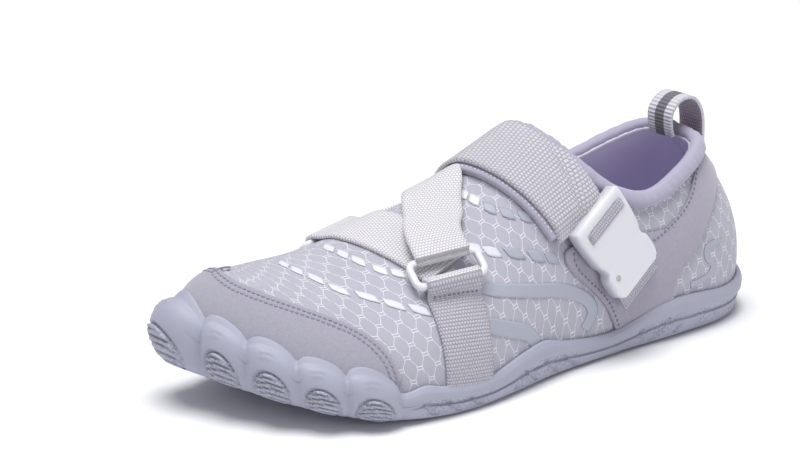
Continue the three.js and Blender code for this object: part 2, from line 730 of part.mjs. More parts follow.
// A flat plate of an outline, with holes, lying out from a seat: u along the fitting, v across it.
function plate(outline, holes, thick, frame, centre) {
  const line = (points, path) => {
    points.forEach(([u, v], k) => (k ? path.lineTo(u, v) : path.moveTo(u, v)));
    return path.closePath();
  };
  const shape = line(outline, new THREE.Shape());
  holes.forEach((h) => shape.holes.push(line(h, new THREE.Path())));
  const geometry = new THREE.ExtrudeGeometry(shape, {
    depth: thick - 1.6,
    bevelThickness: 0.8,
    bevelSize: 0.8,
    bevelOffset: -0.8,
    bevelSegments: 2,
  });
  geometry.translate(0, 0, 0.8);
  return toSolid(place(geometry, frame, centre));
}

// A block beyond a ring's bar, towards its middle, that trims the webbing folded round that bar.
function beyondBar(loop, side) {
  const box = new THREE.BoxGeometry(60, 40, 26);
  const offset = side * (RING.height / 2 - RING.bar / 2) - side * 20;
  const centre = loop.centre.clone().addScaledVector(loop.frame.across, offset);
  return toSolid(place(box, loop.frame, centre));
}
// The side of a ring, +1 or -1, that faces a point.
const barToward = (loop, p) => Math.sign(p.clone().sub(loop.centre).dot(loop.frame.across));

// Cross webbing: up the outer side to a ring, over the vamp to the inner ring, and back down the inner side
const RING_LIFT = RING.bar / 2 + 2 * CROSS_WEBBING.thick + GAP; // middle of a ring over the upper
const outerSpot = seat([162 + 80, 26 + 80, 45.5 + 50], [-80, -80, -50]);
const innerSpot = seatDown(172, -30);
const outerRing = ring(outerSpot, new THREE.Vector3(-23.4, 5.5, 2.1), RING_LIFT);
const innerRing = ring(innerSpot, new THREE.Vector3(1, 0.1, -0.15), RING_LIFT);
const crossFold = (loop, side) => fold(loop, side, CROSS_WEBBING.width, CROSS_WEBBING.thick);
const crossStrip = (from, to, near, before = 0, grow = 0) =>
  strip({
    from,
    to,
    width: CROSS_WEBBING.width + 2 * grow,
    near: near - grow,
    thick: CROSS_WEBBING.thick + 2 * grow,
    before,
  });

const outerFoot = seatSide(167, 16, 1);
const innerFoot = seatSide(174, 14, -1);
const waistSpot = seatSide(110, 48, -1);
const rearFoot = seatSide(88, 16, -1);
const outerDown = barToward(outerRing, outerFoot.point);
const innerDown = barToward(innerRing, innerFoot.point);
const vampRun = crossStrip(outerSpot, innerSpot, GAP)
  .subtract(outerRing.zone)
  .subtract(beyondBar(outerRing, -outerDown))
  .subtract(beyondBar(innerRing, -innerDown));
const sideRun = crossStrip(innerSpot, waistSpot, GAP)
  .subtract(beyondBar(innerRing, -innerDown))
  .add(crossStrip(waistSpot, rearFoot, GAP, CROSS_WEBBING.width / 3));
const instepRun = crossStrip(outerSpot, seatDown(131, -20), 2 * GAP + CROSS_WEBBING.thick)
  .subtract(outerRing.zone)
  .subtract(beyondBar(outerRing, -outerDown));
const sideZone = crossStrip(innerSpot, waistSpot, GAP, 0, GAP).add(
  crossStrip(waistSpot, rearFoot, GAP, CROSS_WEBBING.width / 3, GAP),
);
const outerAnchor = crossStrip(outerFoot, outerSpot, GAP, 12)
  .subtract(beyondBar(outerRing, outerDown))
  .add(crossFold(outerRing, outerDown))
  .subtract(randZone);
const innerAnchor = crossStrip(innerFoot, innerSpot, GAP, 12)
  .subtract(innerRing.zone)
  .subtract(beyondBar(innerRing, innerDown))
  .add(crossFold(innerRing, innerDown))
  .subtract(core(GAP / 2))
  .subtract(randZone)
  .subtract(sideZone);

// Instep strap: a padded band across the instep, from the buckle to a ring on the inner side
const INSTEP_AIM = new THREE.Vector3(0.93, 0.2, -0.3).normalize();
const INSTEP_AT = 82; // distance of the band's middle plane from the origin
const BAND_FOOT = 46; // height at which the band ends on either side
function band(width, near, thick, reach) {
  const box = new THREE.BoxGeometry(width, 260, 260);
  const turn = new THREE.Quaternion().setFromUnitVectors(new THREE.Vector3(1, 0, 0), INSTEP_AIM);
  const middle = INSTEP_AIM.clone().multiplyScalar(INSTEP_AT);
  box.applyMatrix4(new THREE.Matrix4().compose(middle, turn, new THREE.Vector3(1, 1, 1)));
  const limits = new THREE.BoxGeometry(260, 60 - reach, 120 - BAND_FOOT);
  limits.translate(100, (60 + reach) / 2, (120 + BAND_FOOT) / 2);
  return layer(near, near + thick).intersect(toSolid(box)).intersect(toSolid(limits));
}

const buckleSpot = seat([86, 120, 44], [0, -1, 0]);
const buckleFrame = frameOf(new THREE.Vector3(-14.5, 6.9, -22.5), buckleSpot.normal);
const buckleAt = (u, v, lift) =>
  buckleSpot.point
    .clone()
    .addScaledVector(buckleFrame.a, u)
    .addScaledVector(buckleFrame.across, v)
    .addScaledVector(buckleFrame.out, lift);
const BUCKLE_SIDE = [
  [-0.5, 0.42],
  [-0.46, 0.47],
  [-0.12, 0.45],
  [0.02, 0.34],
  [0.1, 0.34],
  [0.18, 0.45],
  [0.32, 0.46],
  [0.4, 0.38],
  [0.5, 0.36],
];
const buckleEdge = [
  ...BUCKLE_SIDE.map(([u, v]) => [u * BUCKLE.length, -v * BUCKLE.width]),
  ...[...BUCKLE_SIDE].reverse().map(([u, v]) => [u * BUCKLE.length, v * BUCKLE.width]),
];
const slotEnds = { near: -0.4 * BUCKLE.length, far: -0.4 * BUCKLE.length + BUCKLE.slot };
const slotHalf = TOP_WEBBING.width / 2 - 2;
const buckleSlot = [
  [slotEnds.near, -slotHalf],
  [slotEnds.far, -slotHalf],
  [slotEnds.far, slotHalf],
  [slotEnds.near, slotHalf],
];
const BUCKLE_LIFT = OVERLAY + 4 * GAP;
const buckle = plate(buckleEdge, [buckleSlot], BUCKLE.thick, buckleFrame, buckleAt(0, 0, BUCKLE_LIFT));
// From the buckle's upper edge downwards, where the band gives way to it
const buckleBox = new THREE.BoxGeometry(2 * BUCKLE.length, 60, 50);
buckleBox.translate(BUCKLE.length / 2 - GAP, 0, 0);
const buckleZone = toSolid(place(buckleBox, buckleFrame, buckleSpot.point));

// Webbing that holds the buckle down, showing past its lower edge
const anchorAt = buckleAt(BUCKLE.length / 2, 0, 0);
const anchorEnd = buckleAt(BUCKLE.length / 2 + 7, 0, 0);
const buckleAnchor = strip({
  from: { point: anchorAt, normal: buckleSpot.normal },
  to: { point: anchorEnd, normal: buckleSpot.normal },
  width: TOP_WEBBING.width - 3,
  near: BUCKLE_LIFT,
  thick: TOP_WEBBING.thick,
  before: -GAP,
});

const PAD_TOP = PAD.thick + 3 * GAP;
const PAD_END = -35; // y at which the pad ends on the inner side
const instepSpot = seatDown(111, -20.5);
const instepRing = ring(
  {
    point: instepSpot.point.clone().addScaledVector(instepSpot.normal, PAD_TOP + 2 * GAP),
    normal: instepSpot.normal,
  },
  INSTEP_AIM,
  RING_LIFT,
);
const instepUp = barToward(instepRing, seatDown(111, 5).point);
const INSTEP_FOLD_AT = -25; // y at which the strap has turned round its ring
const ringWebbing = RING.length - 2 * RING.bar - 1;
const rimZone = rimRoll(
  WALL / 2 + BINDING.thick + GAP,
  BINDING.depth / 2 + GAP,
  BINDING.depth / 2 - BINDING.thick,
);
const padZone = band(PAD.width + 2 * GAP, -1, PAD_TOP + 1, PAD_END - GAP).subtract(buckleZone);
const instepTurn = (side, width, grow) =>
  fold(instepRing, side, width + 2 * grow, TOP_WEBBING.thick + grow);
const pad = band(PAD.width, GAP, PAD.thick, PAD_END)
  .subtract(buckleZone)
  .subtract(rimZone)
  .subtract(instepRing.zone)
  .subtract(instepTurn(instepUp, ringWebbing, GAP))
  .subtract(instepTurn(-instepUp, TAB.width - 1, GAP));
const instepStrap = band(TOP_WEBBING.width, PAD_TOP + GAP / 2, TOP_WEBBING.thick, INSTEP_FOLD_AT)
  .subtract(instepRing.zone)
  .subtract(buckleZone)
  .subtract(beyondBar(instepRing, instepUp))
  .add(instepTurn(instepUp, ringWebbing, 0));

// Webbing from the instep ring down the inner side, and the moulded tab at its end
const tabSpot = seatSide(96, 46.5, -1);
const tabFrame = frameOf(new THREE.Vector3(-0.38, -0.2, -0.9), tabSpot.normal);
const tabHalf = { u: TAB.length / 2, v: TAB.width / 2 };
const tabEdge = [
  [-tabHalf.u, -tabHalf.v],
  [tabHalf.u, -tabHalf.v],
  [tabHalf.u, tabHalf.v],
  [-tabHalf.u, tabHalf.v],
];
const tabCentre = tabSpot.point.clone().addScaledVector(tabSpot.normal, PAD_TOP + 3 * GAP);
const ribBar = new THREE.BoxGeometry(TAB.length * 0.09, TAB.width * 0.62, 1.6);
const tabRibs = [-0.27, -0.09, 0.09, 0.27].map((share) =>
  toSolid(
    place(
      ribBar,
      tabFrame,
      tabCentre
        .clone()
        .addScaledVector(tabFrame.a, share * TAB.length)
        .addScaledVector(tabFrame.out, TAB.thick),
    ),
  ),
);
const pullTab = tabRibs
  .reduce((body, bar) => body.add(bar), plate(tabEdge, [], TAB.thick, tabFrame, tabCentre))
  .subtract(instepRing.zone);
const tabBox = new THREE.BoxGeometry(TAB.length + 2 * GAP, TAB.width * 2, 40);
const tabZone = toSolid(place(tabBox, tabFrame, tabCentre));
const tabStrap = strip({
  from: instepSpot,
  to: tabSpot,
  width: TAB.width - 1,
  near: PAD_TOP + GAP,
  thick: TOP_WEBBING.thick,
})
  .subtract(instepRing.zone)
  .subtract(beyondBar(instepRing, -instepUp))
  .add(instepTurn(-instepUp, TAB.width - 1, 0))
  .subtract(tabZone);

const crossWebbing = vampRun
  .add(instepRun)
  .add(crossFold(outerRing, -outerDown))
  .add(crossFold(innerRing, -innerDown))
  .add(sideRun)
  .subtract(randZone)
  .subtract(padZone);

// Pull loop at the heel: a strip bent over and stitched down at the back of the collar
const loopFoot = seat([-100, 0, 64], [1, 0, 0]).point.x - GAP - LOOP.thick / 2;
const loopTop = NET.points[RIM[0]].z + BINDING.thick + GAP;
const loopLine = new THREE.CatmullRomCurve3([
  new THREE.Vector3(loopFoot - 1.3, 0, 52),
  new THREE.Vector3(loopFoot - 0.3, 0, 62),
  new THREE.Vector3(loopFoot - 0.5, 0, loopTop + 0.35 * LOOP.rise),
  new THREE.Vector3(loopFoot + 0.45 * LOOP.reach, 0, loopTop + LOOP.rise),
  new THREE.Vector3(loopFoot + 0.92 * LOOP.reach, 0, loopTop + 0.45 * LOOP.rise),
  new THREE.Vector3(loopFoot + 0.8 * LOOP.reach, 0, loopTop + LOOP.thick / 2),
]).getPoints(18);
const loopEdge = [1, -1].flatMap((side) => {
  const edge = loopLine.map((p, k) => {
    const ahead = loopLine[Math.min(k + 1, loopLine.length - 1)];
    const back = loopLine[Math.max(k - 1, 0)];
    const d = new THREE.Vector2(ahead.x - back.x, ahead.z - back.z).normalize();
    return [p.x - (side * d.y * LOOP.thick) / 2, p.z + (side * d.x * LOOP.thick) / 2];
  });
  return side === 1 ? edge : edge.reverse();
});
const loopShape = new THREE.Shape(loopEdge.map(([x, z]) => new THREE.Vector2(x, z)));
const loopGeometry = new THREE.ExtrudeGeometry(loopShape, { depth: LOOP.width, bevelEnabled: false });
loopGeometry.translate(0, 0, -LOOP.width / 2);
loopGeometry.rotateX(Math.PI / 2);
const pullLoop = toSolid(loopGeometry).subtract(rimZone).subtract(core(GAP + OVERLAY + GAP));

// Pieces by name, with their colour and finish
const PIECES = [
  { name: "outsole", body: outsole, color: 0xa0a5b9, roughness: 0.55 },
  { name: "upper", body: upper, color: 0xc8c7d0, roughness: 0.85 },
  { name: "insole", body: insole, color: 0x8f87a8, roughness: 0.9 },
  { name: "collar_binding", body: binding, color: 0x9a92b4, roughness: 0.9 },
  { name: "toe_cap", body: toeCap, color: 0xb2afbe, roughness: 0.95 },
  { name: "heel_overlay", body: heelOverlay.subtract(padZone).subtract(sideZone), color: 0xa5a0b2, roughness: 0.95 },
  { name: "outer_ring", body: outerRing.body, color: 0xebebf0, roughness: 0.3 },
  { name: "outer_anchor", body: outerAnchor, color: 0xc3c0cd, roughness: 0.9 },
  { name: "inner_ring", body: innerRing.body, color: 0xebebf0, roughness: 0.3 },
  { name: "inner_anchor", body: innerAnchor, color: 0xc3c0cd, roughness: 0.9 },
  { name: "cross_webbing", body: crossWebbing, color: 0xd7d5de, roughness: 0.9 },
  { name: "instep_pad", body: pad, color: 0xb9b6c8, roughness: 0.9 },
  { name: "instep_strap", body: instepStrap, color: 0xd7d5de, roughness: 0.9 },
  { name: "instep_ring", body: instepRing.body, color: 0xebebf0, roughness: 0.3 },
  { name: "tab_strap", body: tabStrap, color: 0xd7d5de, roughness: 0.9 },
  { name: "pull_tab", body: pullTab, color: 0xb29eac, roughness: 0.5 },
  { name: "buckle", body: buckle, color: 0xebebf0, roughness: 0.3 },
  { name: "buckle_anchor", body: buckleAnchor, color: 0xc3c0cd, roughness: 0.9 },
  { name: "pull_loop", body: pullLoop, color: 0xb9b6c8, roughness: 0.9 },
];

const FINEST = 0.03; // detail finer than this is left out of the faces

const shoe = new THREE.Group();
shoe.name = "water_shoe";
for (const { name, body, color, roughness } of PIECES) {
  const mesh = body.simplify(FINEST).getMesh();
  const geometry = new THREE.BufferGeometry();
  geometry.setAttribute("position", new THREE.BufferAttribute(new Float32Array(mesh.vertProperties), 3));
  geometry.setIndex(new THREE.BufferAttribute(new Uint32Array(mesh.triVerts), 1));
  geometry.translate(-HEEL_REST_AT, 0, 0);
  geometry.computeVertexNormals();
  const piece = new THREE.Mesh(geometry, new THREE.MeshStandardMaterial({ color, roughness, metalness: 0 }));
  piece.name = name;
  shoe.add(piece);
}

export default shoe;
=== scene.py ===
import functools
import math

import bmesh
import bpy
from mathutils import Matrix, Vector
from mathutils.bvhtree import BVHTree


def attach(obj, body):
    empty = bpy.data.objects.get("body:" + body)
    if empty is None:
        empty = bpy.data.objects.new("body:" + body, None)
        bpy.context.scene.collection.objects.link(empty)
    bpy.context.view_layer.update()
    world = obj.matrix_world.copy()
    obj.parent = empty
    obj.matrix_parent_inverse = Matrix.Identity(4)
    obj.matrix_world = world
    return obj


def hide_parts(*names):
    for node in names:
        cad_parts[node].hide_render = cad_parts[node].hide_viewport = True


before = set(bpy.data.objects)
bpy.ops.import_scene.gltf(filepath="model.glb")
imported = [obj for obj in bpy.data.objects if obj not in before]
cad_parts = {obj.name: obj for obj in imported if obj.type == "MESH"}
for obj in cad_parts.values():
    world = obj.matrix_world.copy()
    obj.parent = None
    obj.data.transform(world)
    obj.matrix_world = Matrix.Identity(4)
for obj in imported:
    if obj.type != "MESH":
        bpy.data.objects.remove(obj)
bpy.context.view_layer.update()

MM = 0.001

# The shoe's sizes, in millimetres from the upper's back edge; the row frame's origin is HEEL_REST_AT in front
LENGTH = 246
BALL_WIDTH = 90
INSTEP_HEIGHT = 78.2
HEEL_HEIGHT = 68
HEEL_BULGE = 4
WALL = 2.2
TOE_SPRING = 15
SPRING_FROM = 0.7
THROAT_AT = 0.405
SOLE_THICKNESS = 5.5
RAND = 2.8
LOBE_SWELL = 3.4
LOBE_RISE = 5.5
SOLE_BEVEL = 3.5
HEEL_REST_AT = 34
RIB_ROUND = 1.15
RIB_RISE = 0.9

# Toward its ends the upper reads ridge and collar further inward: from which share, and how much
TOE_FROM, TOE_PULL = 0.8, 2
HEEL_TO, HEEL_PULL = 0.2, 2.2

# Plan of the upper's lower edge: shares of length, and of width to the outer and inner side
PLAN = [
    (0.0, 0.0, 0.0), (0.024, 0.19, -0.19), (0.09, 0.31, -0.305), (0.2, 0.352, -0.325),
    (0.33, 0.362, -0.305), (0.455, 0.4, -0.315), (0.58, 0.475, -0.395), (0.69, 0.515, -0.475),
    (0.8, 0.482, -0.495), (0.885, 0.375, -0.48), (0.945, 0.19, -0.44), (0.985, -0.06, -0.375),
    (1.0, -0.25, -0.25),
]
TOE_ROW = len(PLAN) - 1
PLACES = 2 * TOE_ROW

# Ridge of the vamp: share of length, sideways share of width, height share
RIDGE = [
    (0.0, 0.0, 0.9), (0.2, 0.0, 0.96), (0.4, -0.03, 1.0), (0.46, -0.04, 0.93), (0.52, -0.05, 0.845),
    (0.6, -0.08, 0.755), (0.7, -0.12, 0.66), (0.8, -0.17, 0.57), (0.87, -0.2, 0.515), (0.93, -0.23, 0.44),
    (1.0, -0.27, 0.3),
]

# Collar: share of length, width share, outer and inner height shares, swell, lean in degrees
COLLAR = [
    (0.0, 0.52, 1.0, 1.0, 1.0, 48),
    (0.08, 0.56, 0.97, 0.98, 0.95, 48),
    (0.16, 0.68, 0.85, 0.9, 0.8, 50),
    (0.24, 0.74, 0.76, 0.83, 0.6, 54),
    (0.31, 0.7, 0.83, 0.88, 0.5, 64),
    (0.36, 0.52, 0.98, 1.0, 0.45, 76),
    (0.39, 0.27, 1.1, 1.11, 0.4, 86),
    (THROAT_AT, 0.0, 1.15, 1.15, 0.4, 90),
    (0.6, 0.0, 1.0, 1.0, 0.35, 90),
    (1.0, 0.0, 0.6, 0.6, 0.1, 90),
]

# Top of the rubber over the foot bed, by place on the plan
RAND_TOP = [
    (0, 10.5), (1, 9.5), (2, 8.8), (3, 11), (3.4, 9.5), (4.2, 4.2), (5, 7), (5.4, 10.3), (5.8, 9.3),
    (6.6, 4.8), (7.3, 6), (7.8, 9), (8.5, 14), (9.3, 14.6), (10.05, 16.8), (10.9, 19.3), (12.1, 24.5),
    (13.2, 22), (14.2, 15), (16, 9), (18, 7.5), (20, 8), (22, 9), (24, 10.5),
]

# Toe lobes from the little toe to the great toe: from, to, swell
LOBES = [
    (8.05, 8.88, 1.0), (8.88, 9.65, 1.0), (9.65, 10.45, 1.0), (10.45, 11.3, 1.0), (11.3, 13.9, 1.7),
]


def lerp(a, b, t):
    return a + (b - a) * t


def clamp(v, lo=0.0, hi=1.0):
    return min(hi, max(lo, v))


def smooth(t):
    t = clamp(t)
    return t * t * (3 - 2 * t)


def along(table, column, at):
    """A column's value at a share, on a smooth curve through the rows."""
    last = len(table) - 1
    s = clamp(at, table[0][0], table[last][0])
    k = 0
    while k < last - 1 and table[k + 1][0] < s:
        k += 1

    def slope(i):
        lo, hi = max(0, i - 1), min(last, i + 1)
        return (table[hi][column] - table[lo][column]) / (table[hi][0] - table[lo][0])

    h = table[k + 1][0] - table[k][0]
    t = (s - table[k][0]) / h
    a, b = table[k][column], table[k + 1][column]
    return (
        a * (1 + 2 * t) * (1 - t) ** 2
        + slope(k) * h * t * (1 - t) ** 2
        + b * t * t * (3 - 2 * t)
        + slope(k + 1) * h * t * t * (t - 1)
    )


def curve(a, b, c, d, f):
    """Between b and c at a share f, on a smooth curve through four numbers or points."""
    return 0.5 * (2 * b + (c - a) * f + (2 * a - 5 * b + 4 * c - d) * f * f + (3 * b - a - 3 * c + d) * f**3)


@functools.lru_cache(None)
def plan_at(c):
    """A point of the upper's lower edge: place 0 is the heel, TOE_ROW the toe."""

    def corner(i):
        k = i % PLACES
        entry = PLAN[k if k <= TOE_ROW else PLACES - k]
        return entry[0] * LENGTH, entry[1 if k <= TOE_ROW else 2] * BALL_WIDTH

    i = math.floor(c)
    p = [corner(i + k) for k in (-1, 0, 1, 2)]
    return tuple(curve(*[q[k] for q in p], c - i) for k in (0, 1))


@functools.lru_cache(None)
def plan_normal(c):
    a, b = plan_at(c - 0.01), plan_at(c + 0.01)
    dx, dy = b[0] - a[0], b[1] - a[1]
    size = math.hypot(dx, dy)
    return -dy / size, dx / size


@functools.lru_cache(None)
def plan_place(outer, share):
    lo, hi = 0.0, float(TOE_ROW)
    for _ in range(34):
        mid = (lo + hi) / 2
        if plan_at(mid)[0] < share * LENGTH:
            lo = mid
        else:
            hi = mid
    c = TOE_ROW if share >= 1 else 0 if share <= 0 else (lo + hi) / 2
    return c if outer else PLACES - c


def spring_at(x):
    start = SPRING_FROM * LENGTH
    return 0 if x <= start else TOE_SPRING * ((x - start) / (LENGTH - start)) ** 2


def rib_point(c, v, height=None):
    """A point of the upper's outer face over a place on the plan, unsprung.

    v is 0 at the lower edge and 1 at the top; a height over that edge, in millimetres, takes v's place.
    """
    fx, fy = plan_at(c)
    share = clamp(fx / LENGTH)
    at = share
    if share > TOE_FROM:
        at = share - TOE_PULL * (share - TOE_FROM) ** 2
    elif share < HEEL_TO:
        at = share + HEEL_PULL * (HEEL_TO - share) ** 2
    vamp = share >= THROAT_AT - 1e-9
    ridge_y = along(RIDGE, 1, at) * BALL_WIDTH
    width = 0 if vamp else along(COLLAR, 1, at)
    top_y = ridge_y + (fy - ridge_y) * width
    side = 2 if c <= TOE_ROW else 3
    top_z = along(RIDGE, 2, at) * INSTEP_HEIGHT if vamp else along(COLLAR, side, at) * HEEL_HEIGHT
    lean = math.radians(min(90, along(COLLAR, 5, at)))
    full = math.sin(lean) ** RIB_RISE
    if height is None:
        turn = v * lean
    else:
        turn = math.asin(min(1, (clamp(height / top_z) * full) ** (1 / RIB_RISE)))

    def level(angle):
        return 1 - max(0, math.cos(angle)) ** RIB_ROUND

    across = level(turn) / level(lean)
    up = math.sin(turn) ** RIB_RISE / full
    nx, ny = plan_normal(c)
    wave = math.sin(math.pi * min(1, 1.15 * turn / lean) ** 0.8)
    swell = along(COLLAR, 4, at) * HEEL_BULGE * wave
    x = lerp(fx, at * LENGTH, across) + nx * swell
    y = lerp(fy, top_y, across) + ny * swell
    return Vector((x, y, SOLE_THICKNESS + top_z * up))


def placed(p):
    """An unsprung point in millimetres, sprung with the toe and put in the row frame in metres."""
    return Vector((p[0] - HEEL_REST_AT, p[1], p[2] + spring_at(p[0]))) * MM


def row(x, y, z):
    """A sprung point in millimetres from the upper's back edge, in the row frame in metres."""
    return Vector((x - HEEL_REST_AT, y, z)) * MM


def in_row(line):
    """The points of a line in the row frame; a Vector is there already."""
    return [p if isinstance(p, Vector) else row(*p) for p in line]


def squared(value, power):
    """A sine or cosine to a power, with its sign: below 1 it squares a round section."""
    return math.copysign(abs(value) ** power, value)


def on_upper(outer, share, v):
    """A point of one side of the upper, in the row frame in metres."""
    return placed(rib_point(plan_place(outer, share), v))


# Meshes


def grid(columns, rows, point, uv=None, value=None):
    """A bmesh grid of quads whose vertex at (i, j) stands at point(i, j)."""
    bm = bmesh.new()
    layer = bm.loops.layers.uv.new("UVMap")
    held = bm.verts.layers.float.new("value") if value else None
    bmesh.ops.create_grid(bm, x_segments=columns, y_segments=rows, size=1)
    spots = {}
    for v in bm.verts:
        i = round((v.co.x + 1) / 2 * columns)
        j = round((v.co.y + 1) / 2 * rows)
        spots[v] = (i, j)
    for face in bm.faces:
        for loop in face.loops:
            i, j = spots[loop.vert]
            loop[layer].uv = uv(i, j) if uv else (i / columns, j / rows)
    for v, (i, j) in spots.items():
        v.co = point(i, j)
        if value:
            v[held] = value(i, j)
    return bm


def closed(bm):
    """The mesh with points on each other made one, and faces turned outward."""
    bmesh.ops.remove_doubles(bm, verts=bm.verts, dist=0.02 * MM)
    bmesh.ops.recalc_face_normals(bm, faces=bm.faces)
    return bm


def put(name, data):
    obj = bpy.data.objects.new(name, data)
    bpy.context.scene.collection.objects.link(obj)
    return obj


def piece(name, bm, node, material, thick=0.0, inward=False):
    """An object in its slot and material, thick in millimetres, that stands for a node if one is given."""
    for face in bm.faces:
        face.smooth = True
    mesh = bpy.data.meshes.new(name)
    bm.to_mesh(mesh)
    bm.free()
    obj = put(name, mesh)
    mesh.materials.append(material)
    if thick:
        mod = obj.modifiers.new("thickness", "SOLIDIFY")
        mod.thickness = thick * MM
        mod.offset = -1 if inward else 1
    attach(obj, "root")
    if node:
        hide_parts(node)
    return obj


# Shader building


def linear(*color):
    return tuple(c / 255 / 12.92 if c <= 10 else ((c / 255 + 0.055) / 1.055) ** 2.4 for c in color) + (1,)


def shaded(color, share):
    return tuple(min(1, c * share) for c in color[:3]) + (1,)


class Value:
    """A shader socket that can be added, multiplied and compared."""

    def __init__(self, tree, socket):
        self.tree = tree
        self.socket = socket

    def node(self, kind, settings=None, inputs=None, out=0):
        made = self.tree.nodes.new(kind)
        for key, value in (settings or {}).items():
            setattr(made, key, value)
        for key, value in (inputs or {}).items():
            if isinstance(value, Value):
                self.tree.links.new(value.socket, made.inputs[key])
            else:
                made.inputs[key].default_value = value
        return Value(self.tree, made.outputs[out])

    def math(self, operation, *others):
        inputs = {0: self}
        for k, other in enumerate(others):
            inputs[k + 1] = other
        return self.node("ShaderNodeMath", {"operation": operation}, inputs)

    def __add__(self, other):
        return self.math("ADD", other)

    def __sub__(self, other):
        return self.math("SUBTRACT", other)

    def __mul__(self, other):
        return self.math("MULTIPLY", other)

    def __truediv__(self, other):
        return self.math("DIVIDE", other)

    def __rsub__(self, other):
        return (self * -1.0) + other

    __radd__ = __add__
    __rmul__ = __mul__

    def step(self, low, high):
        """0 below low and 1 above high, smoothly."""
        settings = {"interpolation_type": "SMOOTHSTEP"}
        return self.node("ShaderNodeMapRange", settings, {0: self, 1: low, 2: high, 3: 0.0, 4: 1.0})

    def mix(self, a, b):
        """Colour a where this is 0 and b where it is 1."""
        settings = {"data_type": "RGBA"}
        return self.node("ShaderNodeMix", settings, {0: self, 6: a, 7: b}, out=2)


class Paint:
    """A material with its shader's inputs and the coordinates of its surface."""

    def __init__(self, name, color, roughness, **inputs):
        self.material = bpy.data.materials.new(name)
        self.material.use_nodes = True
        self.tree = self.material.node_tree
        self.shader = self.tree.nodes["Principled BSDF"]
        self.set("Base Color", color)
        self.set("Roughness", roughness)
        for key, value in inputs.items():
            self.set(key.replace("_", " "), value)
        self.bumps = None

    def set(self, key, value):
        if isinstance(value, Value):
            self.tree.links.new(value.socket, self.shader.inputs[key])
        else:
            self.shader.inputs[key].default_value = value

    def start(self):
        return Value(self.tree, None)

    def uv(self):
        """The surface's own coordinates, in millimetres, as two values."""
        spots = self.start().node("ShaderNodeUVMap", {"uv_map": "UVMap"})
        parts = spots.node("ShaderNodeSeparateXYZ", inputs={0: spots})
        return parts, Value(self.tree, parts.socket.node.outputs[1])

    def noise(self, scale, detail=2.0):
        place = self.start().node("ShaderNodeTexCoord", out=3)
        inputs = {"Scale": scale, "Detail": detail, "Vector": place}
        return self.start().node("ShaderNodeTexNoise", inputs=inputs)

    def bump(self, height, strength, distance):
        inputs = {"Height": height, "Strength": strength, "Distance": distance}
        if self.bumps:
            inputs["Normal"] = self.bumps
        self.bumps = self.start().node("ShaderNodeBump", inputs=inputs)
        self.set("Normal", self.bumps)


def sine(value, period):
    return (value * (2 * math.pi / period)).math("SINE")


# The printed net: its turn, distance between its lines, length of their waves, and their sway
NET_TURN = math.radians(86)
NET_PITCH = 3.85
NET_WAVE = 9.8
NET_SWAY = 0.2


def knit_paint(name):
    """Knitted mesh with a printed net: wavy lines, joined by pairs of short bars where they come close."""
    paint = Paint(name, linear(*MESH), 0.82, Sheen_Weight=0.2, Sheen_Roughness=0.5)
    u, v = paint.uv()
    cos, sin = math.cos(NET_TURN), math.sin(NET_TURN)
    across = (v * cos - u * sin) / NET_PITCH
    odd = across.math("FLOORED_MODULO", 2.0).math("FLOOR")
    phase = (u * cos + v * sin) / NET_WAVE + odd * 0.5
    wave = (phase * (2 * math.pi)).math("SINE") * 1.3
    side = wave.math("MINIMUM", 1.0).math("MAXIMUM", -1.0) * NET_SWAY
    half = (across.math("FLOORED_MODULO", 1.0) - 0.5).math("ABSOLUTE")
    line = 1.0 - (0.5 - half - side).math("ABSOLUTE").step(0.03, 0.06)
    beat = (phase.math("FLOORED_MODULO", 1.0) - 0.25).math("ABSOLUTE")
    bars = (1.0 - (beat - 0.06).math("ABSOLUTE").step(0.014, 0.026)) * (1.0 - half.step(0.32, 0.36))
    net = (line * 0.8).math("MAXIMUM", bars)
    grain = sine(u, 0.8) * sine(v, 0.8)
    tint = paint.noise(70.0).mix(linear(*[c - 7 for c in MESH]), linear(*[c + 5 for c in MESH]))
    paint.set("Base Color", net.mix(tint, linear(*NET)))
    paint.bump(net, 0.6, 0.25 * MM)
    paint.bump(grain, 0.4, 0.12 * MM)
    return paint.material


def suede_paint(name, color):
    paint = Paint(name, color, 0.95, Sheen_Weight=0.5, Sheen_Roughness=0.6)
    shade = paint.noise(700.0, 5.0)
    paint.set("Base Color", shade.mix(shaded(color, 0.8), color))
    paint.bump(paint.noise(1600.0, 4.0), 0.7, 0.3 * MM)
    return paint.material


def webbing_paint(name, color, rib=1.25):
    """Woven tape: u runs along it, v across it, and a rib is its weave's size, in millimetres."""
    paint = Paint(name, color, 0.85, Sheen_Weight=0.3)
    u, v = paint.uv()
    step = (u / rib).math("FLOOR") * 0.5
    weave = sine(v + step * rib, 2 * rib).math("ABSOLUTE")
    ribs = sine(u, 2 * rib).math("ABSOLUTE")
    height = weave * ribs
    # Painted shade: the weave is darker where it lies low, between its threads
    paint.set("Base Color", height.step(0.1, 0.5).mix(shaded(color, 0.62), color))
    paint.bump(height, 0.9, 0.35 * MM)
    return paint.material


def rubber_paint(name, color):
    """Smooth rubber; the mesh's value is 1 on a speckled pad, and more in a groove, which is painted near
    black as shade.
    """
    paint = Paint(name, color, 0.55)
    pad = paint.start().node("ShaderNodeAttribute", {"attribute_name": "value"}, out=2)
    grain = paint.noise(1500.0, 3.0)
    # Painted light and shade: the pad is lighter where its bump grain is high and darker where it is low
    speckled = grain.step(0.4, 0.52).mix(shaded(color, 0.7), shaded(color, 1.12))
    rough = pad.math("MINIMUM", 1.0)
    shaded_cut = (pad - 1.0).math("MAXIMUM", 0.0)
    # Painted shade: a groove, where the value passes 1, is painted near black
    paint.set("Base Color", shaded_cut.mix(rough.mix(color, speckled), shaded(color, 0.3)))
    paint.bump(grain * rough, 0.6, 0.3 * MM)
    paint.bump(paint.noise(900.0, 3.0), 0.08, 0.1 * MM)
    return paint.material


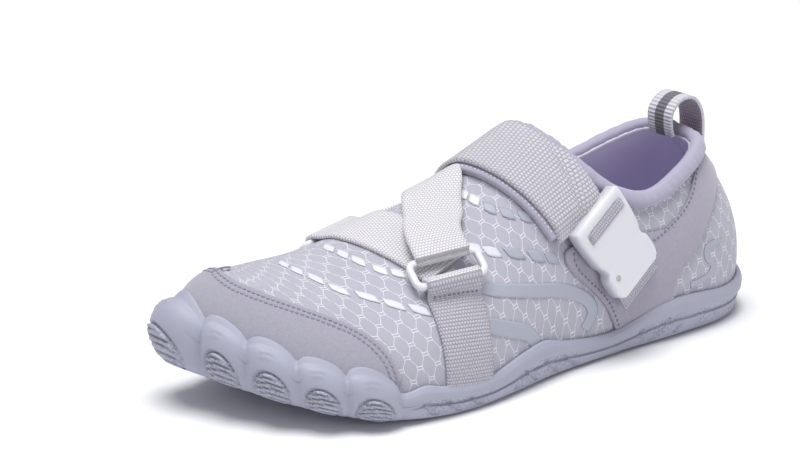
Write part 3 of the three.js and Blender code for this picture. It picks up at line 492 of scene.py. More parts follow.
def plastic_paint(name):
    paint = Paint(
        name,
        linear(222, 222, 228),
        0.32,
        Subsurface_Weight=0.25,
        Subsurface_Radius=(0.004, 0.004, 0.005),
        Subsurface_Scale=0.5,
        Coat_Weight=0.2,
    )
    return paint.material


def loop_paint(name):
    """Ribbed tape with a dark stripe along its middle."""
    paint = Paint(name, linear(212, 211, 218), 0.7)
    u, v = paint.uv()
    stripe = 1.0 - v.math("ABSOLUTE").step(2.4, 2.7)
    ribs = sine(u, 1.6)
    paint.set("Base Color", stripe.mix(linear(206, 205, 213), linear(112, 110, 118)))
    paint.bump(ribs, 0.6, 0.3 * MM)
    return paint.material


# Colours, as a picture shows them
MESH = (176, 175, 188)
NET = (226, 226, 233)

RUBBER = rubber_paint("rubber", linear(163, 165, 182))
KNIT = knit_paint("knit")
CAP_SUEDE = suede_paint("cap_suede", linear(163, 161, 175))
HEEL_SUEDE = suede_paint("heel_suede", linear(161, 156, 173))
WEBBING = webbing_paint("webbing_light", linear(232, 230, 236))
WEBBING_TOP = webbing_paint("webbing_top", linear(202, 200, 209), 1.4)
WEBBING_DARK = webbing_paint("webbing_grey", linear(192, 189, 201))
PLASTIC = plastic_paint("milky_plastic")
LINING = Paint("lining", linear(224, 218, 240), 0.9, Sheen_Weight=0.3).material
FOOTBED = Paint("footbed", linear(176, 166, 204), 0.95).material
PAD = Paint("pad_fabric", linear(184, 180, 198), 0.9, Sheen_Weight=0.3).material
TAB = Paint("tab_rubber", linear(176, 156, 170), 0.5).material
LOOP = loop_paint("loop_tape")
LOOP_INSIDE = webbing_paint("loop_inside", linear(176, 158, 178), 1.1)


# Upper


def stations(runs):
    """Shares of the length from runs of (from, to, steps), with the last end put in."""
    out = []
    for low, high, steps in runs:
        out += [lerp(low, high, k / steps) for k in range(steps)]
    return out + [runs[-1][1]]


REAR_RUNS = [(0.0, 0.01, 3), (0.01, 0.08, 8), (0.08, 0.34, 24), (0.34, THROAT_AT, 14)]
FRONT_RUNS = [(THROAT_AT, 0.86, 44), (0.86, 0.985, 22), (0.985, 1.0, 6)]
SHARES = stations(REAR_RUNS + FRONT_RUNS)
UP_STEPS = 30


@functools.lru_cache(None)
def girth(outer, share):
    """Length of the upper's side from its lower edge to its top, in millimetres."""
    c = plan_place(outer, share)
    points = [rib_point(c, k / 10) for k in range(11)]
    return sum((b - a).length for a, b in zip(points, points[1:]))


def flank(outer, shares, levels, start=None):
    """One side of the upper's outer face; start gives each level's own first share."""

    def share_at(i, j):
        low = start(levels[j]) if start else shares[0]
        return low + (shares[-1] - low) * (shares[i] - shares[0]) / (shares[-1] - shares[0])

    def point(i, j):
        return on_upper(outer, share_at(i, j), levels[j])

    def uv(i, j):
        share = share_at(i, j)
        return share * LENGTH, levels[j] * girth(outer, share)

    bm = grid(len(shares) - 1, len(levels) - 1, point, uv)
    if outer:
        bmesh.ops.reverse_faces(bm, faces=bm.faces)
    return bm


def join(*parts):
    """The meshes as one, welded where they meet."""
    out = parts[0]
    for other in parts[1:]:
        mesh = bpy.data.meshes.new("part")
        other.to_mesh(mesh)
        other.free()
        out.from_mesh(mesh)
        bpy.data.meshes.remove(mesh)
    bmesh.ops.remove_doubles(out, verts=out.verts, dist=0.05 * MM)
    return out


def outward(bm):
    """Every face turned to look away from the upper."""
    bm.normal_update()
    wrong = [f for f in bm.faces if SKIN.find_nearest(f.calc_center_median())[1].dot(f.normal) < 0]
    bmesh.ops.reverse_faces(bm, faces=wrong)
    return bm


def raised(bm, lift):
    """Every point moved out along its normal, in millimetres."""
    outward(bm)
    bm.normal_update()
    moves = {v: v.normal.copy() for v in bm.verts}
    for v, normal in moves.items():
        v.co += normal * lift * MM
    return bm


LEVELS = [k / UP_STEPS for k in range(UP_STEPS + 1)]
upper_mesh = join(flank(True, SHARES, LEVELS), flank(False, SHARES, LEVELS))
SKIN = BVHTree.FromBMesh(upper_mesh)
upper = piece("upper", upper_mesh, "upper", KNIT, thick=WALL, inward=True)
upper.data.materials.append(LINING)
upper.modifiers["thickness"].material_offset = 1
upper.modifiers["thickness"].material_offset_rim = 1

# Collar binding: a padded roll astride the collar's edge, pulled in by its stitches
COLLAR_RUNS = [(0.0, 0.01, 4), (0.01, 0.08, 14), (0.08, 0.34, 50), (0.34, 0.398, 30), (0.398, THROAT_AT, 8)]
COLLAR_SHARES = stations(COLLAR_RUNS)


def collar_line(level):
    """A closed line round the upper at a level, from the heel over the outer side to the throat and back."""
    outer, inner = [[on_upper(side, s, level) for s in COLLAR_SHARES] for side in (True, False)]
    return outer + inner[-2:0:-1]


RIM, RIM_BELOW = collar_line(1), collar_line(0.95)
BIND_SIDES = 18
BIND_HALF_WIDE, BIND_HALF_TALL, BIND_DOWN = 2.7, 3.4, 1.7


def binding():
    count = len(RIM)

    def point(i, j):
        k = i % count
        ahead, back = RIM[(k + 1) % count], RIM[k - 1]
        run = (ahead - back).normalized()
        down = RIM_BELOW[k] - RIM[k]
        down = (down - run * down.dot(run)).normalized()
        out = down.cross(run).normalized()
        turn = 2 * math.pi * j / BIND_SIDES
        pucker = 1 + 0.1 * math.sin(i * 2.1) * math.cos(turn * 2) + 0.05 * math.sin(i * 0.9)
        middle = RIM[k] + down * BIND_DOWN * MM - out * WALL / 2 * MM
        wide = squared(math.cos(turn), 0.8) * BIND_HALF_WIDE * pucker
        tall = squared(math.sin(turn), 0.8) * BIND_HALF_TALL
        return middle + (out * wide + down * tall) * MM

    return closed(grid(count, BIND_SIDES, point, lambda i, j: (i * 2.0, j * 1.0)))


BINDING_CLOTH = Paint("binding_cloth", linear(170, 166, 187), 0.95, Sheen_Weight=0.3).material
piece("collar_binding", binding(), "collar_binding", BINDING_CLOTH)

# Sole

# Side of the sole from the floor up: share of the rand's height, and how far it stands out past the rand
SIDE = [
    (0.0, -SOLE_BEVEL), (0.1, -0.9), (0.42, 0.5), (0.45, -0.4), (0.5, -0.4), (0.53, 0.5), (0.85, 0.2),
    (1.0, -0.9),
]
# The same at the toes, where the side has no step
TOE_SIDE = [(0.0, -SOLE_BEVEL), (0.08, -1.4), (0.3, 0.1), (0.6, 0.5), (0.85, 0.2), (1.0, -0.9)]
ARCH_FROM, ARCH_TO, ARCH_RISE = 62, 132, 2.2
AROUND = 576


@functools.lru_cache(None)
def lobe_at(c):
    """Of the toe lobe at a place: its rounding, its swell in millimetres, and -1 to 1 across it."""
    for low, high, swell in LOBES:
        if low <= c <= high:
            t = (2 * c - low - high) / (high - low)
            rounding = math.sqrt(max(0, 1 - t * t))
            return rounding, rounding * swell * LOBE_SWELL, t
    return 0, 0, 1


def toe_share(c):
    return smooth((c - LOBES[0][0] + 0.5) / 0.5) * smooth((LOBES[-1][1] + 0.5 - c) / 0.5)


def arch_at(x):
    return ARCH_RISE * math.sin(math.pi * clamp((x - ARCH_FROM) / (ARCH_TO - ARCH_FROM))) ** 2


@functools.lru_cache(None)
def side_top(c):
    return SOLE_THICKNESS + along(RAND_TOP, 1, c) - LOBE_RISE * toe_share(c) * (1 - lobe_at(c)[0])


# Pads with slanted grooves on the sole's sides: place on the plan from, to, and how the grooves slant
PADS = [
    (1.0, 2.75, 0.0), (2.95, 3.75, 0.55), (4.75, 6.1, -0.6), (6.55, 7.75, -0.5), (15.2, 17.2, 0.6),
    (18.0, 19.4, 0.5), (19.9, 21.6, -0.5), (21.9, 23.2, 0.0),
]


def band(value, middle, half, soft):
    """1 within half of a middle, fading over soft."""
    return smooth((half + soft - abs(value - middle)) / soft)


def side_relief(c, up):
    """Millimetres that the side stands out at a place, and how rough: 1 on a pad, more in a groove, which is
    painted dark as shade.
    """
    out, rough = 0.0, 0.0
    lobe, _, t = lobe_at(c)
    out += (along(TOE_SIDE, 1, up) - along(SIDE, 1, up)) * toe_share(c)
    if lobe:
        oval = math.hypot(t / 0.66, (up - 0.17) / 0.29)
        inside = smooth((1.0 - oval) / 0.12)
        rim = band(oval, 1.03, 0.035, 0.06)
        stripe = (up + 0.09 * t * t + 0.05 * t + 0.01) % 0.088
        shaded_cut = inside * band(stripe, 0.044, 0.006, 0.012)
        out += 0.9 * inside - 1.1 * rim - 0.7 * shaded_cut
        # The grooves' value over 1 paints them dark, as painted shade in the grooves
        rough = inside + max(rim, shaded_cut * 0.9) * (1 if up > 0.03 else 0)
        mark = (up - 0.76) - 0.05 * math.cos(t * 4) + 0.05 * t
        out += 0.5 * band(mark, 0.0, 0.006, 0.02) * band(t, 0.05, 0.22, 0.1)
        out += 0.4 * band(mark, -0.09, 0.006, 0.02) * band(t, 0.12, 0.18, 0.08)
    out -= 0.35 * band(up, 0.56, 0.002, 0.012) * band(lobe, 0.0, 0.5, 0.2) * toe_share(c)
    for low, high, slant in PADS:
        if low < c < high:
            t = (2 * c - low - high) / (high - low)
            edge = smooth((1 - abs(t)) / 0.12)
            inside = edge * smooth((up - 0.1) / 0.06) * smooth((0.66 - up) / 0.06)
            rough = max(rough, inside)
            out -= 0.5 * inside
            if slant:
                stripe = (c * 2.3 + slant * up * 2.2 + 40) % 0.9
                out -= 0.9 * inside * band(stripe, 0.45, 0.06, 0.07)
    return out, rough


def side_point(c, up):
    nx, ny = plan_normal(c)
    _, swell, _ = lobe_at(c)
    top = side_top(c)
    relief, _ = side_relief(c, up)
    swell *= math.sin(math.pi * clamp(up + 0.12)) ** 0.5
    out = RAND + along(SIDE, 1, up) + swell + relief
    wall = rib_point(c, 0, max(0, top * up - SOLE_THICKNESS))
    z = arch_at(wall.x) if up == 0 else max(top * up, 0)
    return wall.x + nx * out, wall.y + ny * out, z


# Shares of the rand's height that the side's rows stand at
UPS = [0, 0.015, 0.035, 0.06, 0.09]
UPS += [0.12 + 0.026 * k for k in range(12)]
UPS += [0.425, 0.44, 0.455, 0.475, 0.495, 0.51, 0.525, 0.54]
UPS += [0.56 + 0.03 * k for k in range(13)]
UPS += [0.94, 0.965, 0.985, 1.0]
FLAT = 8
ROWS = 2 * FLAT + len(UPS) + 3


def sole_mesh():
    sides = {}

    def side(k, r):
        if (k, r) not in sides:
            sides[(k, r)] = side_point(PLACES * k / AROUND, UPS[r])
        return sides[(k, r)]

    def point(i, j):
        k = i % AROUND
        other = (AROUND - k) % AROUND
        if j <= FLAT:
            a, b = side(k, 0), side(other, 0)
            t = 0.5 + 0.5 * j / FLAT
            x, y = lerp(b[0], a[0], t), lerp(b[1], a[1], t)
            return placed((x, y, arch_at(x)))
        r = j - FLAT
        if r < len(UPS):
            return placed(side(k, r))
        c = PLACES * k / AROUND
        top = side_top(c)
        nx, ny = plan_normal(c)
        r -= len(UPS)
        if r == 0:
            wall = rib_point(c, 0, top - SOLE_THICKNESS)
            return placed((wall.x + nx * 1.1, wall.y + ny * 1.1, top + 0.25))
        wall = rib_point(c, 0, max(0, (top - SOLE_THICKNESS) * (1 - 0.4 * (r - 1))))
        if r <= 2:
            z = wall.z + (0.05 if r == 1 else 0)
            return placed((wall.x + nx * 0.25, wall.y + ny * 0.25, z))
        t = 0.5 + 0.5 * (1 - (r - 2) / FLAT)
        a, b = plan_at(c), plan_at(PLACES - c)
        x, y = lerp(b[0], a[0], t), lerp(b[1], a[1], t)
        return placed((x, y, SOLE_THICKNESS - 0.3))

    def pad(i, j):
        r = j - FLAT
        if r < 0:
            return 1.0
        if r >= len(UPS):
            return 0.0
        return side_relief(PLACES * (i % AROUND) / AROUND, UPS[r])[1]

    return closed(grid(AROUND, ROWS, point, lambda i, j: (i * 1.1, j * 1.0), pad))


piece("outsole", sole_mesh(), "outsole", RUBBER)
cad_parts["insole"].data.materials.clear()
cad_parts["insole"].data.materials.append(FOOTBED)

# Suede toe cap: y and x of its rear edge, from the outer side over the ridge to the inner side
CAP_EDGE = [
    (62, 192), (41, 197.5), (31, 204.5), (23, 212), (13, 220), (1, 227), (-14, 231), (-30, 227), (-42, 214),
    (-52, 204), (-62, 200),
]
CAP_BY_Y = CAP_EDGE[::-1]


def cap_start(outer, back=0.0):
    """The share at which the cap begins on a level of the upper."""

    @functools.lru_cache(None)
    def start(v):
        low, high = 0.6, 1.0
        for _ in range(18):
            mid = (low + high) / 2
            p = rib_point(plan_place(outer, mid), v)
            if p.x < along(CAP_BY_Y, 1, p.y) - back:
                low = mid
            else:
                high = mid
        return low

    return start


CAP_SHARES = [k / 56 for k in range(57)]
CAP_LEVELS = [0.1 + 0.9 * k / 30 for k in range(31)]
SUEDE_LIFT, SUEDE_THICK = 0.35, 1.0
cap = join(*[flank(outer, CAP_SHARES, CAP_LEVELS, cap_start(outer)) for outer in (True, False)])
piece("toe_cap", raised(cap, SUEDE_LIFT), "toe_cap", CAP_SUEDE, thick=SUEDE_THICK)

# Suede heel overlay, drawn from the side: x and z of its front and rear edges
HEEL_FRONT = [
    (17, 72), (30, 62), (40, 51.5), (51, 45), (68, 40), (90, 46), (106, 46), (107, 39), (95, 27.5),
    (88, 19.5), (82, 8),
]
HEEL_REAR = [(6, 72), (10, 66), (18, 57), (28, 46), (36, 37), (45, 30), (52.5, 23), (54, 8)]


def smooth_line(points, t):
    """A point at 0 to 1 of a curve through points."""
    last = len(points) - 1
    k = min(last - 1, int(t * last))
    near = [Vector(points[min(last, max(0, k + i))]) for i in (-1, 0, 1, 2)]
    return curve(*near, t * last - k)


def from_side(x, z, sign):
    """The point of the upper seen from the side at x and z, or the nearest one."""
    hit = SKIN.ray_cast(row(x, 90 * sign, z), Vector((0, -sign, 0)))
    if hit[0] is None:
        hit = SKIN.find_nearest(row(x, 6 * sign, z))
    return hit[0]


def heel_place(t, share, sign):
    """The upper's point at 0 to 1 down the overlay, and at a share from its rear edge to its front one."""
    p = smooth_line(HEEL_REAR, t).lerp(smooth_line(HEEL_FRONT, t), share)
    return from_side(p.x, p.y, sign)


def heel_side(sign):
    down, over = 90, 30
    bm = grid(down, over, lambda i, j: heel_place(i / down, j / over, sign), lambda i, j: (i * 1.2, j * 1.2))
    if sign > 0:
        bmesh.ops.reverse_faces(bm, faces=bm.faces)
    return bm


heel = join(heel_side(1), heel_side(-1))
piece("heel_overlay", raised(heel, SUEDE_LIFT), "heel_overlay", HEEL_SUEDE, thick=SUEDE_THICK)


# Webbing and rings, in millimetres: wide and thick, or long, wide, bar and corner
TAPE_WIDE, TAPE_THICK = 22, 1.5
BAND_WIDE, BAND_THICK = 26, 1.6
TAB_WIDE = 21
PAD_WIDE, PAD_THICK, PAD_TOP = 30, 3.2, 4.1
RING_LONG, RING_WIDE, RING_BAR, RING_CORNER = 31, 13, 2.8, 2.6
# Tape's underside over the middle of a ring's bar
BAR_TOP = RING_BAR / 2 + 0.2
# A ribbon is dropped on the upper from this height, as far down as the second
DROP, REACH = 14, 40


def seat(p):
    """The nearest point of the upper and its outward normal."""
    spot, normal, _, _ = SKIN.find_nearest(p)
    return spot, normal


def drape(line, width, lift, long_steps, wide_steps, taper=None, meet=None):
    """A ribbon on the upper along a line of points, its width and lift in millimetres.

    The lift may be a function of the share along it, and the taper is one; meet, from meets(), is a bar that
    one end bends to.
    """
    spots = [smooth_line(line, k / long_steps) for k in range(long_steps + 1)]
    lifts = lift if callable(lift) else (lambda s: lift)
    length = [0.0]
    for a, b in zip(spots, spots[1:]):
        length.append(length[-1] + (b - a).length / MM)

    def frame_at(k):
        run = (spots[min(k + 1, long_steps)] - spots[max(k - 1, 0)]).normalized()
        spot, normal = seat(spots[k])
        for d in (-2, -1, 1, 2):
            near = spots[min(long_steps, max(0, k + d))]
            normal = normal + seat(near)[1] * 0.5
        normal.normalize()
        across = normal.cross(run).normalized()
        return spot, across, normal

    frames = [frame_at(k) for k in range(long_steps + 1)]

    def point(i, j):
        spot, across, normal = frames[i]
        w = (j / wide_steps - 0.5) * (width * taper(i / long_steps) if taper else width)
        start = spot + across * w * MM + normal * DROP * MM
        hit = SKIN.ray_cast(start, -normal, REACH * MM)
        if hit[0] is None:
            hit = SKIN.find_nearest(spot + across * w * MM)
        n = (hit[1] + normal).normalized()
        lain = hit[0] + n * lifts(i / long_steps) * MM
        if meet is None:
            return lain
        bar, bar_run, out, up, share, at_start = meet
        far = i / long_steps if at_start else 1 - i / long_steps
        away = length[i] if at_start else length[-1] - length[i]
        w *= math.copysign(1, bar_run.dot(across))
        end = bar + (up * BAR_TOP + bar_run * w + out * away) * MM
        return lain.lerp(end, smooth((share - far) / share))

    def uv(i, j):
        return length[i], (j / wide_steps - 0.5) * width

    return outward(grid(long_steps, wide_steps, point, uv))


def strap(name, line, lift, node, material, meet=None):
    bm = drape(in_row(line), TAPE_WIDE, lift, 60, 14, meet=meet)
    piece(name, bm, node, material, thick=TAPE_THICK)


# How far a ring lies closer to the upper than its solid, pressed down by its webbing
SINK = {"inner_ring": 3.2, "instep_ring": 3.2}


def axes(node):
    """Middle of a CAD ring, sunk as above, and its long, wide and outward directions."""
    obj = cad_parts[node]
    points = [obj.matrix_world @ v.co for v in obj.data.vertices]
    low = Vector([min(p[k] for p in points) for k in range(3)])
    high = Vector([max(p[k] for p in points) for k in range(3)])
    middle = (low + high) / 2

    def moment(a, b):
        return sum((p[a] - middle[a]) * (p[b] - middle[b]) for p in points)

    spread = Matrix([[moment(a, b) for a in range(3)] for b in range(3)])
    # The two widest directions, each by turning a vector toward it again and again
    found = []
    for _ in range(2):
        v = Vector((0.61, 0.5, 0.62))
        for _ in range(300):
            for f in found:
                v -= f * v.dot(f)
            v = (spread @ v).normalized()
        found.append(v)
    thin = found[0].cross(found[1]).normalized()
    if thin.dot(middle - Vector((middle.x, -0.005, 0.02))) < 0:
        thin = -thin
    return middle - thin * SINK.get(node, 0) * MM, found[0], thin.cross(found[0]).normalized(), thin


def meets(node, toward, share, at_start):
    """For drape: a ring's long bar toward a point, and the share and end of the ribbon that bend to it."""
    middle, a, b, n = axes(node)
    side = 1 if (toward - middle).dot(b) > 0 else -1
    return middle + b * side * (RING_WIDE - RING_BAR) / 2 * MM, a, b * side, n, share, at_start


# Straps' middle lines, in millimetres with the toe's spring in
OUTER_ANCHOR = [(167.5, 46.5, 10), (167.1, 45.4, 14), (166, 41, 27), (164.6, 33, 39), (163.8, 29.6, 42.4)]
INNER_ANCHOR = [(174.5, -44.5, 12), (174, -43.5, 20), (173.6, -40, 32), (172.8, -36, 41), (172.4, -34, 45)]
VAMP_RUN = [(161.5, 25.5, 47), (164.5, 16, 52), (167.5, 6, 55.5)]
VAMP_RUN += [(170.3, -6, 57.5), (172, -18, 55), (172.4, -26, 51)]
INSTEP_RUN = [(160.2, 22.4, 48.6), (154, 11, 57.4), (147, 1, 63.3)]
INSTEP_RUN += [(138.5, -8, 68.5), (130, -18, 68), (124, -25, 62)]
SIDE_RUN = [(170, -32, 47), (150, -31, 50), (130, -31.5, 51)]
SIDE_RUN += [(110, -30, 48), (98, -29.5, 34), (90, -29.5, 20)]


def climb(base, top, share, at_start):
    """A lift that rises from base to top over a share of the line at one of its ends."""

    def lift(t):
        far = t if at_start else 1 - t
        return base + (top - base) * smooth((share - far) / share)

    return lift


# The bars that the runs meet, and the runs' ends put on them
OUTER_UP = meets("outer_ring", row(*INSTEP_RUN[1]), 0.3, True)
OUTER_DOWN = meets("outer_ring", row(*OUTER_ANCHOR[2]), 0.3, False)
INNER_UP = meets("inner_ring", row(*VAMP_RUN[3]), 0.15, False)
INNER_DOWN = meets("inner_ring", row(*INNER_ANCHOR[1]), 0.3, False)
OUTER_ANCHOR[-1] = OUTER_DOWN[0]
INSTEP_RUN[0] = OUTER_UP[0]
INNER_ANCHOR[-1] = INNER_DOWN[0]
VAMP_RUN[-1] = INNER_UP[0]
strap("outer_anchor", OUTER_ANCHOR, 0.4, "outer_anchor", WEBBING_DARK, OUTER_DOWN)
strap("inner_anchor", INNER_ANCHOR, 0.4, "inner_anchor", WEBBING_DARK, INNER_DOWN)
strap("vamp_strap", VAMP_RUN, 0.4, "cross_webbing", WEBBING, INNER_UP)
strap("instep_run", INSTEP_RUN, 2.3, "cross_webbing", WEBBING, OUTER_UP)
strap("side_run", SIDE_RUN, 0.4, "cross_webbing", WEBBING)

# Instep strap and its pad: a band in a slanted plane over the instep
AIM = Vector((0.93, 0.2, -0.3)).normalized()
BAND_AT = 82
BAND_MIDDLE = (-4, 42)


def band_line(start, end, steps=30):
    """Where the band's middle plane meets the upper, between two angles: 0 is outward and 90 up."""
    side = (Vector((0, 1, 0)) - AIM * AIM.y).normalized()
    up = side.cross(AIM).normalized()
    if up.z < 0:
        up = -up
    y, z = BAND_MIDDLE
    middle = row((BAND_AT - AIM.y * y - AIM.z * z) / AIM.x, y, z)
    points = []
    for k in range(steps + 1):
        turn = math.radians(lerp(start, end, k / steps))
        hit = SKIN.ray_cast(middle, side * math.cos(turn) + up * math.sin(turn))
        if hit[0] is not None:
            points.append(hit[0])
    return points


def pad_taper(t):
    """The pad narrows to half its width at its inner end."""
    return 1 - 0.5 * max(0, (t - 0.93) / 0.07) ** 2


pad_bm = drape(band_line(20, 164), PAD_WIDE, 0.4, 90, 18, pad_taper)
pad = piece("instep_pad", pad_bm, "instep_pad", PAD, thick=PAD_THICK)
strap_bm = drape(band_line(16, 124), BAND_WIDE, climb(PAD_TOP + 0.2, 2.6, 0.12, True), 90, 16)
piece("instep_strap", strap_bm, "instep_strap", WEBBING_TOP, thick=BAND_THICK)


# Rings, fittings and folds


def rounded(t, length, height, r):
    """A point at 0 to 1 round a rounded rectangle."""
    runs = [length - 2 * r, math.pi * r / 2, height - 2 * r, math.pi * r / 2] * 2
    s = (t % 1) * sum(runs)
    k = 0
    while s > runs[k]:
        s -= runs[k]
        k += 1
    corner = [(1, -1), (1, 1), (-1, 1), (-1, -1)][(k // 2) % 4]
    cx, cy = corner[0] * (length / 2 - r), corner[1] * (height / 2 - r)
    if k % 2 == 0:
        dx, dy = [(1, 0), (0, 1), (-1, 0), (0, -1)][k // 2]
        start = [(-1, -1), (1, -1), (1, 1), (-1, 1)][k // 2]
        x0 = start[0] * (length / 2 - (r if dx else 0))
        y0 = start[1] * (height / 2 - (r if dy else 0))
        return x0 + dx * s, y0 + dy * s
    turn = -math.pi / 2 + (k // 2) * math.pi / 2 + s / r
    return cx + r * math.cos(turn), cy + r * math.sin(turn)


def ring(name):
    middle, a, b, n = axes(name)

    def point(i, j):
        u, v = rounded(i / 96, RING_LONG - RING_BAR, RING_WIDE - RING_BAR, RING_CORNER)
        u2, v2 = rounded(i / 96 + 0.004, RING_LONG - RING_BAR, RING_WIDE - RING_BAR, RING_CORNER)
        run = Vector((u2 - u, v2 - v)).normalized()
        turn = 2 * math.pi * j / 14
        wide = squared(math.cos(turn), 0.75) * RING_BAR / 2
        tall = squared(math.sin(turn), 0.75) * RING_BAR / 2
        u, v = u + run.y * wide, v - run.x * wide
        return middle + (a * u + b * v + n * tall) * MM

    piece(name, closed(grid(96, 14, point)), name, PLASTIC)


for name in ("outer_ring", "inner_ring", "instep_ring"):
    ring(name)


# Webbing turned round a bar: radius of its inside, and from which angle to which
FOLD_OUT, FOLD_FROM, FOLD_TO = 1.6, 82, 278


def turned(name, node, side, width, thick):
    """Webbing folded round one long bar of a ring; side is +1 or -1 across the ring."""
    middle, a, b, n = axes(node)
    centre = middle + b * side * (RING_WIDE - RING_BAR) / 2 * MM

    def point(i, j):
        turn = math.radians(lerp(FOLD_FROM, FOLD_TO, i / 24))
        out = b * side * math.cos(turn) + n * math.sin(turn)
        return centre + out * FOLD_OUT * MM + a * (j / 10 - 0.5) * width * MM

    bm = grid(24, 10, point, lambda i, j: (i * 0.5, (j / 10 - 0.5) * width))
    bm.normal_update()
    piece(name, bm, None, WEBBING, thick=thick)


for kind in ("outer", "inner"):
    for letter, side in (("a", 1), ("b", -1)):
        turned(f"{kind}_fold_{letter}", f"{kind}_ring", side, TAPE_WIDE, TAPE_THICK)
turned("instep_fold_a", "instep_ring", 1, 24, BAND_THICK)
turned("instep_fold_b", "instep_ring", -1, TAPE_WIDE, BAND_THICK)

# Strap from the instep ring to the pull tab
TAB_RUN = [(107, -25, 66), (103, -29.5, 60), (99, -32, 54), (96, -33, 47), (92, -33, 38)]
tab_bm = drape(in_row(TAB_RUN), TAB_WIDE, climb(PAD_TOP + 0.3, 9.5, 0.3, True), 40, 12)
piece("tab_strap", tab_bm, "tab_strap", WEBBING, thick=BAND_THICK)
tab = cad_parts["pull_tab"]
tab.data.materials.clear()
tab.data.materials.append(TAB)

# Buckle: its sizes and its place seen from the side; then half its width along it, in shares
BUCKLE_LENGTH, BUCKLE_WIDTH, BUCKLE_HOUSING = 35, 30, 5.6
BUCKLE_AT = (86, 44)
BUCKLE_LIFT = 2.3
EDGE_ROUND = 1.5
BUCKLE_SIDE = [
    (-0.5, 0.455), (-0.47, 0.485), (-0.3, 0.485), (-0.1, 0.465), (0.02, 0.44), (0.08, 0.405), (0.14, 0.405),
    (0.19, 0.45), (0.38, 0.455), (0.46, 0.42), (0.5, 0.36),
]


def plate(centre, a, b, n, outline, thick, crown):
    """A moulded plate with a rounded edge and a crown; outline gives u and v round it, in millimetres."""
    count = len(outline)
    mu = sum(u for u, _ in outline) / count
    reach = min(math.hypot(u - mu, v) for u, v in outline)
    rings = [(0.0, 0.0), (0.0, thick - EDGE_ROUND)]
    for k in range(1, 6):
        turn = k * math.pi / 10
        rings.append((EDGE_ROUND * (1 - math.cos(turn)), thick - EDGE_ROUND + EDGE_ROUND * math.sin(turn)))
    for k in range(1, 7):
        rings.append((lerp(EDGE_ROUND, reach, k / 6), thick + crown * math.sin(math.pi / 2 * k / 6)))

    def point(i, j):
        u, v = outline[i % count]
        inward, rise = rings[j]
        shrink = 1 - inward / max(reach, 0.1)
        return centre + (a * (mu + (u - mu) * shrink) + b * v * shrink + n * rise) * MM

    bm = grid(count, len(rings) - 1, point, lambda i, j: (i * 1.0, j * 1.0))
    bmesh.ops.remove_doubles(bm, verts=bm.verts, dist=0.01 * MM)
    bmesh.ops.holes_fill(bm, edges=[e for e in bm.edges if e.is_boundary])
    bmesh.ops.recalc_face_normals(bm, faces=bm.faces)
    return bm


def buckle_frame():
    """The buckle's spot on the upper, and its directions along, across and out."""
    x, z = BUCKLE_AT
    spot = from_side(x, z, 1)
    _, normal = seat(spot)
    for dx, dz in ((-8, 0), (8, 0), (0, -9), (0, 9)):
        normal = normal + seat(from_side(x + dx, z + dz, 1))[1]
    normal.normalize()
    a = Vector((-14.5, 6.9, -22.5))
    a = (a - normal * a.dot(normal)).normalized()
    return spot, a, normal.cross(a).normalized(), normal


B_SPOT, B_A, B_B, B_N = buckle_frame()


def buckle_outline(steps=28):
    line = []
    for k in range(steps + 1):
        u = lerp(-0.5, 0.5, k / steps)
        line.append((u * BUCKLE_LENGTH, along(BUCKLE_SIDE, 1, u) * BUCKLE_WIDTH))
    return line + [(u, -v) for u, v in reversed(line)]


body = plate(B_SPOT + B_N * BUCKLE_LIFT * MM, B_A, B_B, B_N, buckle_outline(), BUCKLE_HOUSING, 0.5)
piece("buckle", body, "buckle", PLASTIC)
# Its slot, a dark plate sunk in its top that paints the slot's shade: long, wide, corners' radius, and how
# far back and up it stands
SLOT_LONG, SLOT_WIDE, SLOT_CORNER = 24, 5.6, 1.2
SLOT_BACK, SLOT_UP = 11.5, 5.65
slot_edge = [rounded(k / 60, SLOT_LONG, SLOT_WIDE, SLOT_CORNER) for k in range(60)]
slot_spot = B_SPOT + B_N * SLOT_UP * MM - B_A * SLOT_BACK * MM
slot_ring = plate(slot_spot, B_B, -B_A, B_N, slot_edge, 2.7, 0.0)
SLOT_SHADE = Paint("slot_shade", linear(120, 116, 130), 0.9).material
piece("buckle_slot", slot_ring, None, SLOT_SHADE)


def bead(bm, middle, spans, around, tall):
    """An ellipsoid added to a mesh, its three full axes in millimetres."""
    turn = Matrix(spans).transposed() * MM
    place = Matrix.Translation(middle) @ turn.to_4x4()
    bmesh.ops.create_uvsphere(bm, u_segments=around, v_segments=tall, radius=0.5, matrix=place)


# The small round dimple near the buckle's lower corner, a darker bead that paints its shade
dimple = bmesh.new()
dimple.loops.layers.uv.new("UVMap")
middle = B_SPOT + (B_A * 8.5 - B_B * 9.9 + B_N * 8.0) * MM
bead(dimple, middle, (B_A * 2.6, B_B * 2.6, B_N * 0.6), 24, 8)
DIMPLE_SHADE = Paint("dimple_shade", linear(176, 173, 184), 0.6).material
piece("buckle_dimple", dimple, None, DIMPLE_SHADE)


def flat_tape(name, u_from, u_to, width, lift_from, lift_to, node, material, thick=BAND_THICK):
    """A flat piece of tape in the buckle's frame, from one place along it to another."""

    def point(i, j):
        t = i / 12
        u = lerp(u_from, u_to, t)
        lift = lerp(lift_from, lift_to, t)
        return B_SPOT + (B_A * u + B_B * (j / 10 - 0.5) * width + B_N * lift) * MM

    bm = grid(12, 10, point, lambda i, j: (lerp(u_from, u_to, i / 12), (j / 10 - 0.5) * width))
    bmesh.ops.recalc_face_normals(bm, faces=bm.faces)
    piece(name, bm, node, material, thick=thick)


# The anchor below the buckle, and the strap's end in its slot
flat_tape("buckle_anchor", 15, 22.5, 23, 3.6, 2.0, "buckle_anchor", WEBBING_DARK)
flat_tape("slot_webbing", -13.7, -9.6, 22.6, 8.35, 8.25, None, WEBBING_DARK, 0.3)

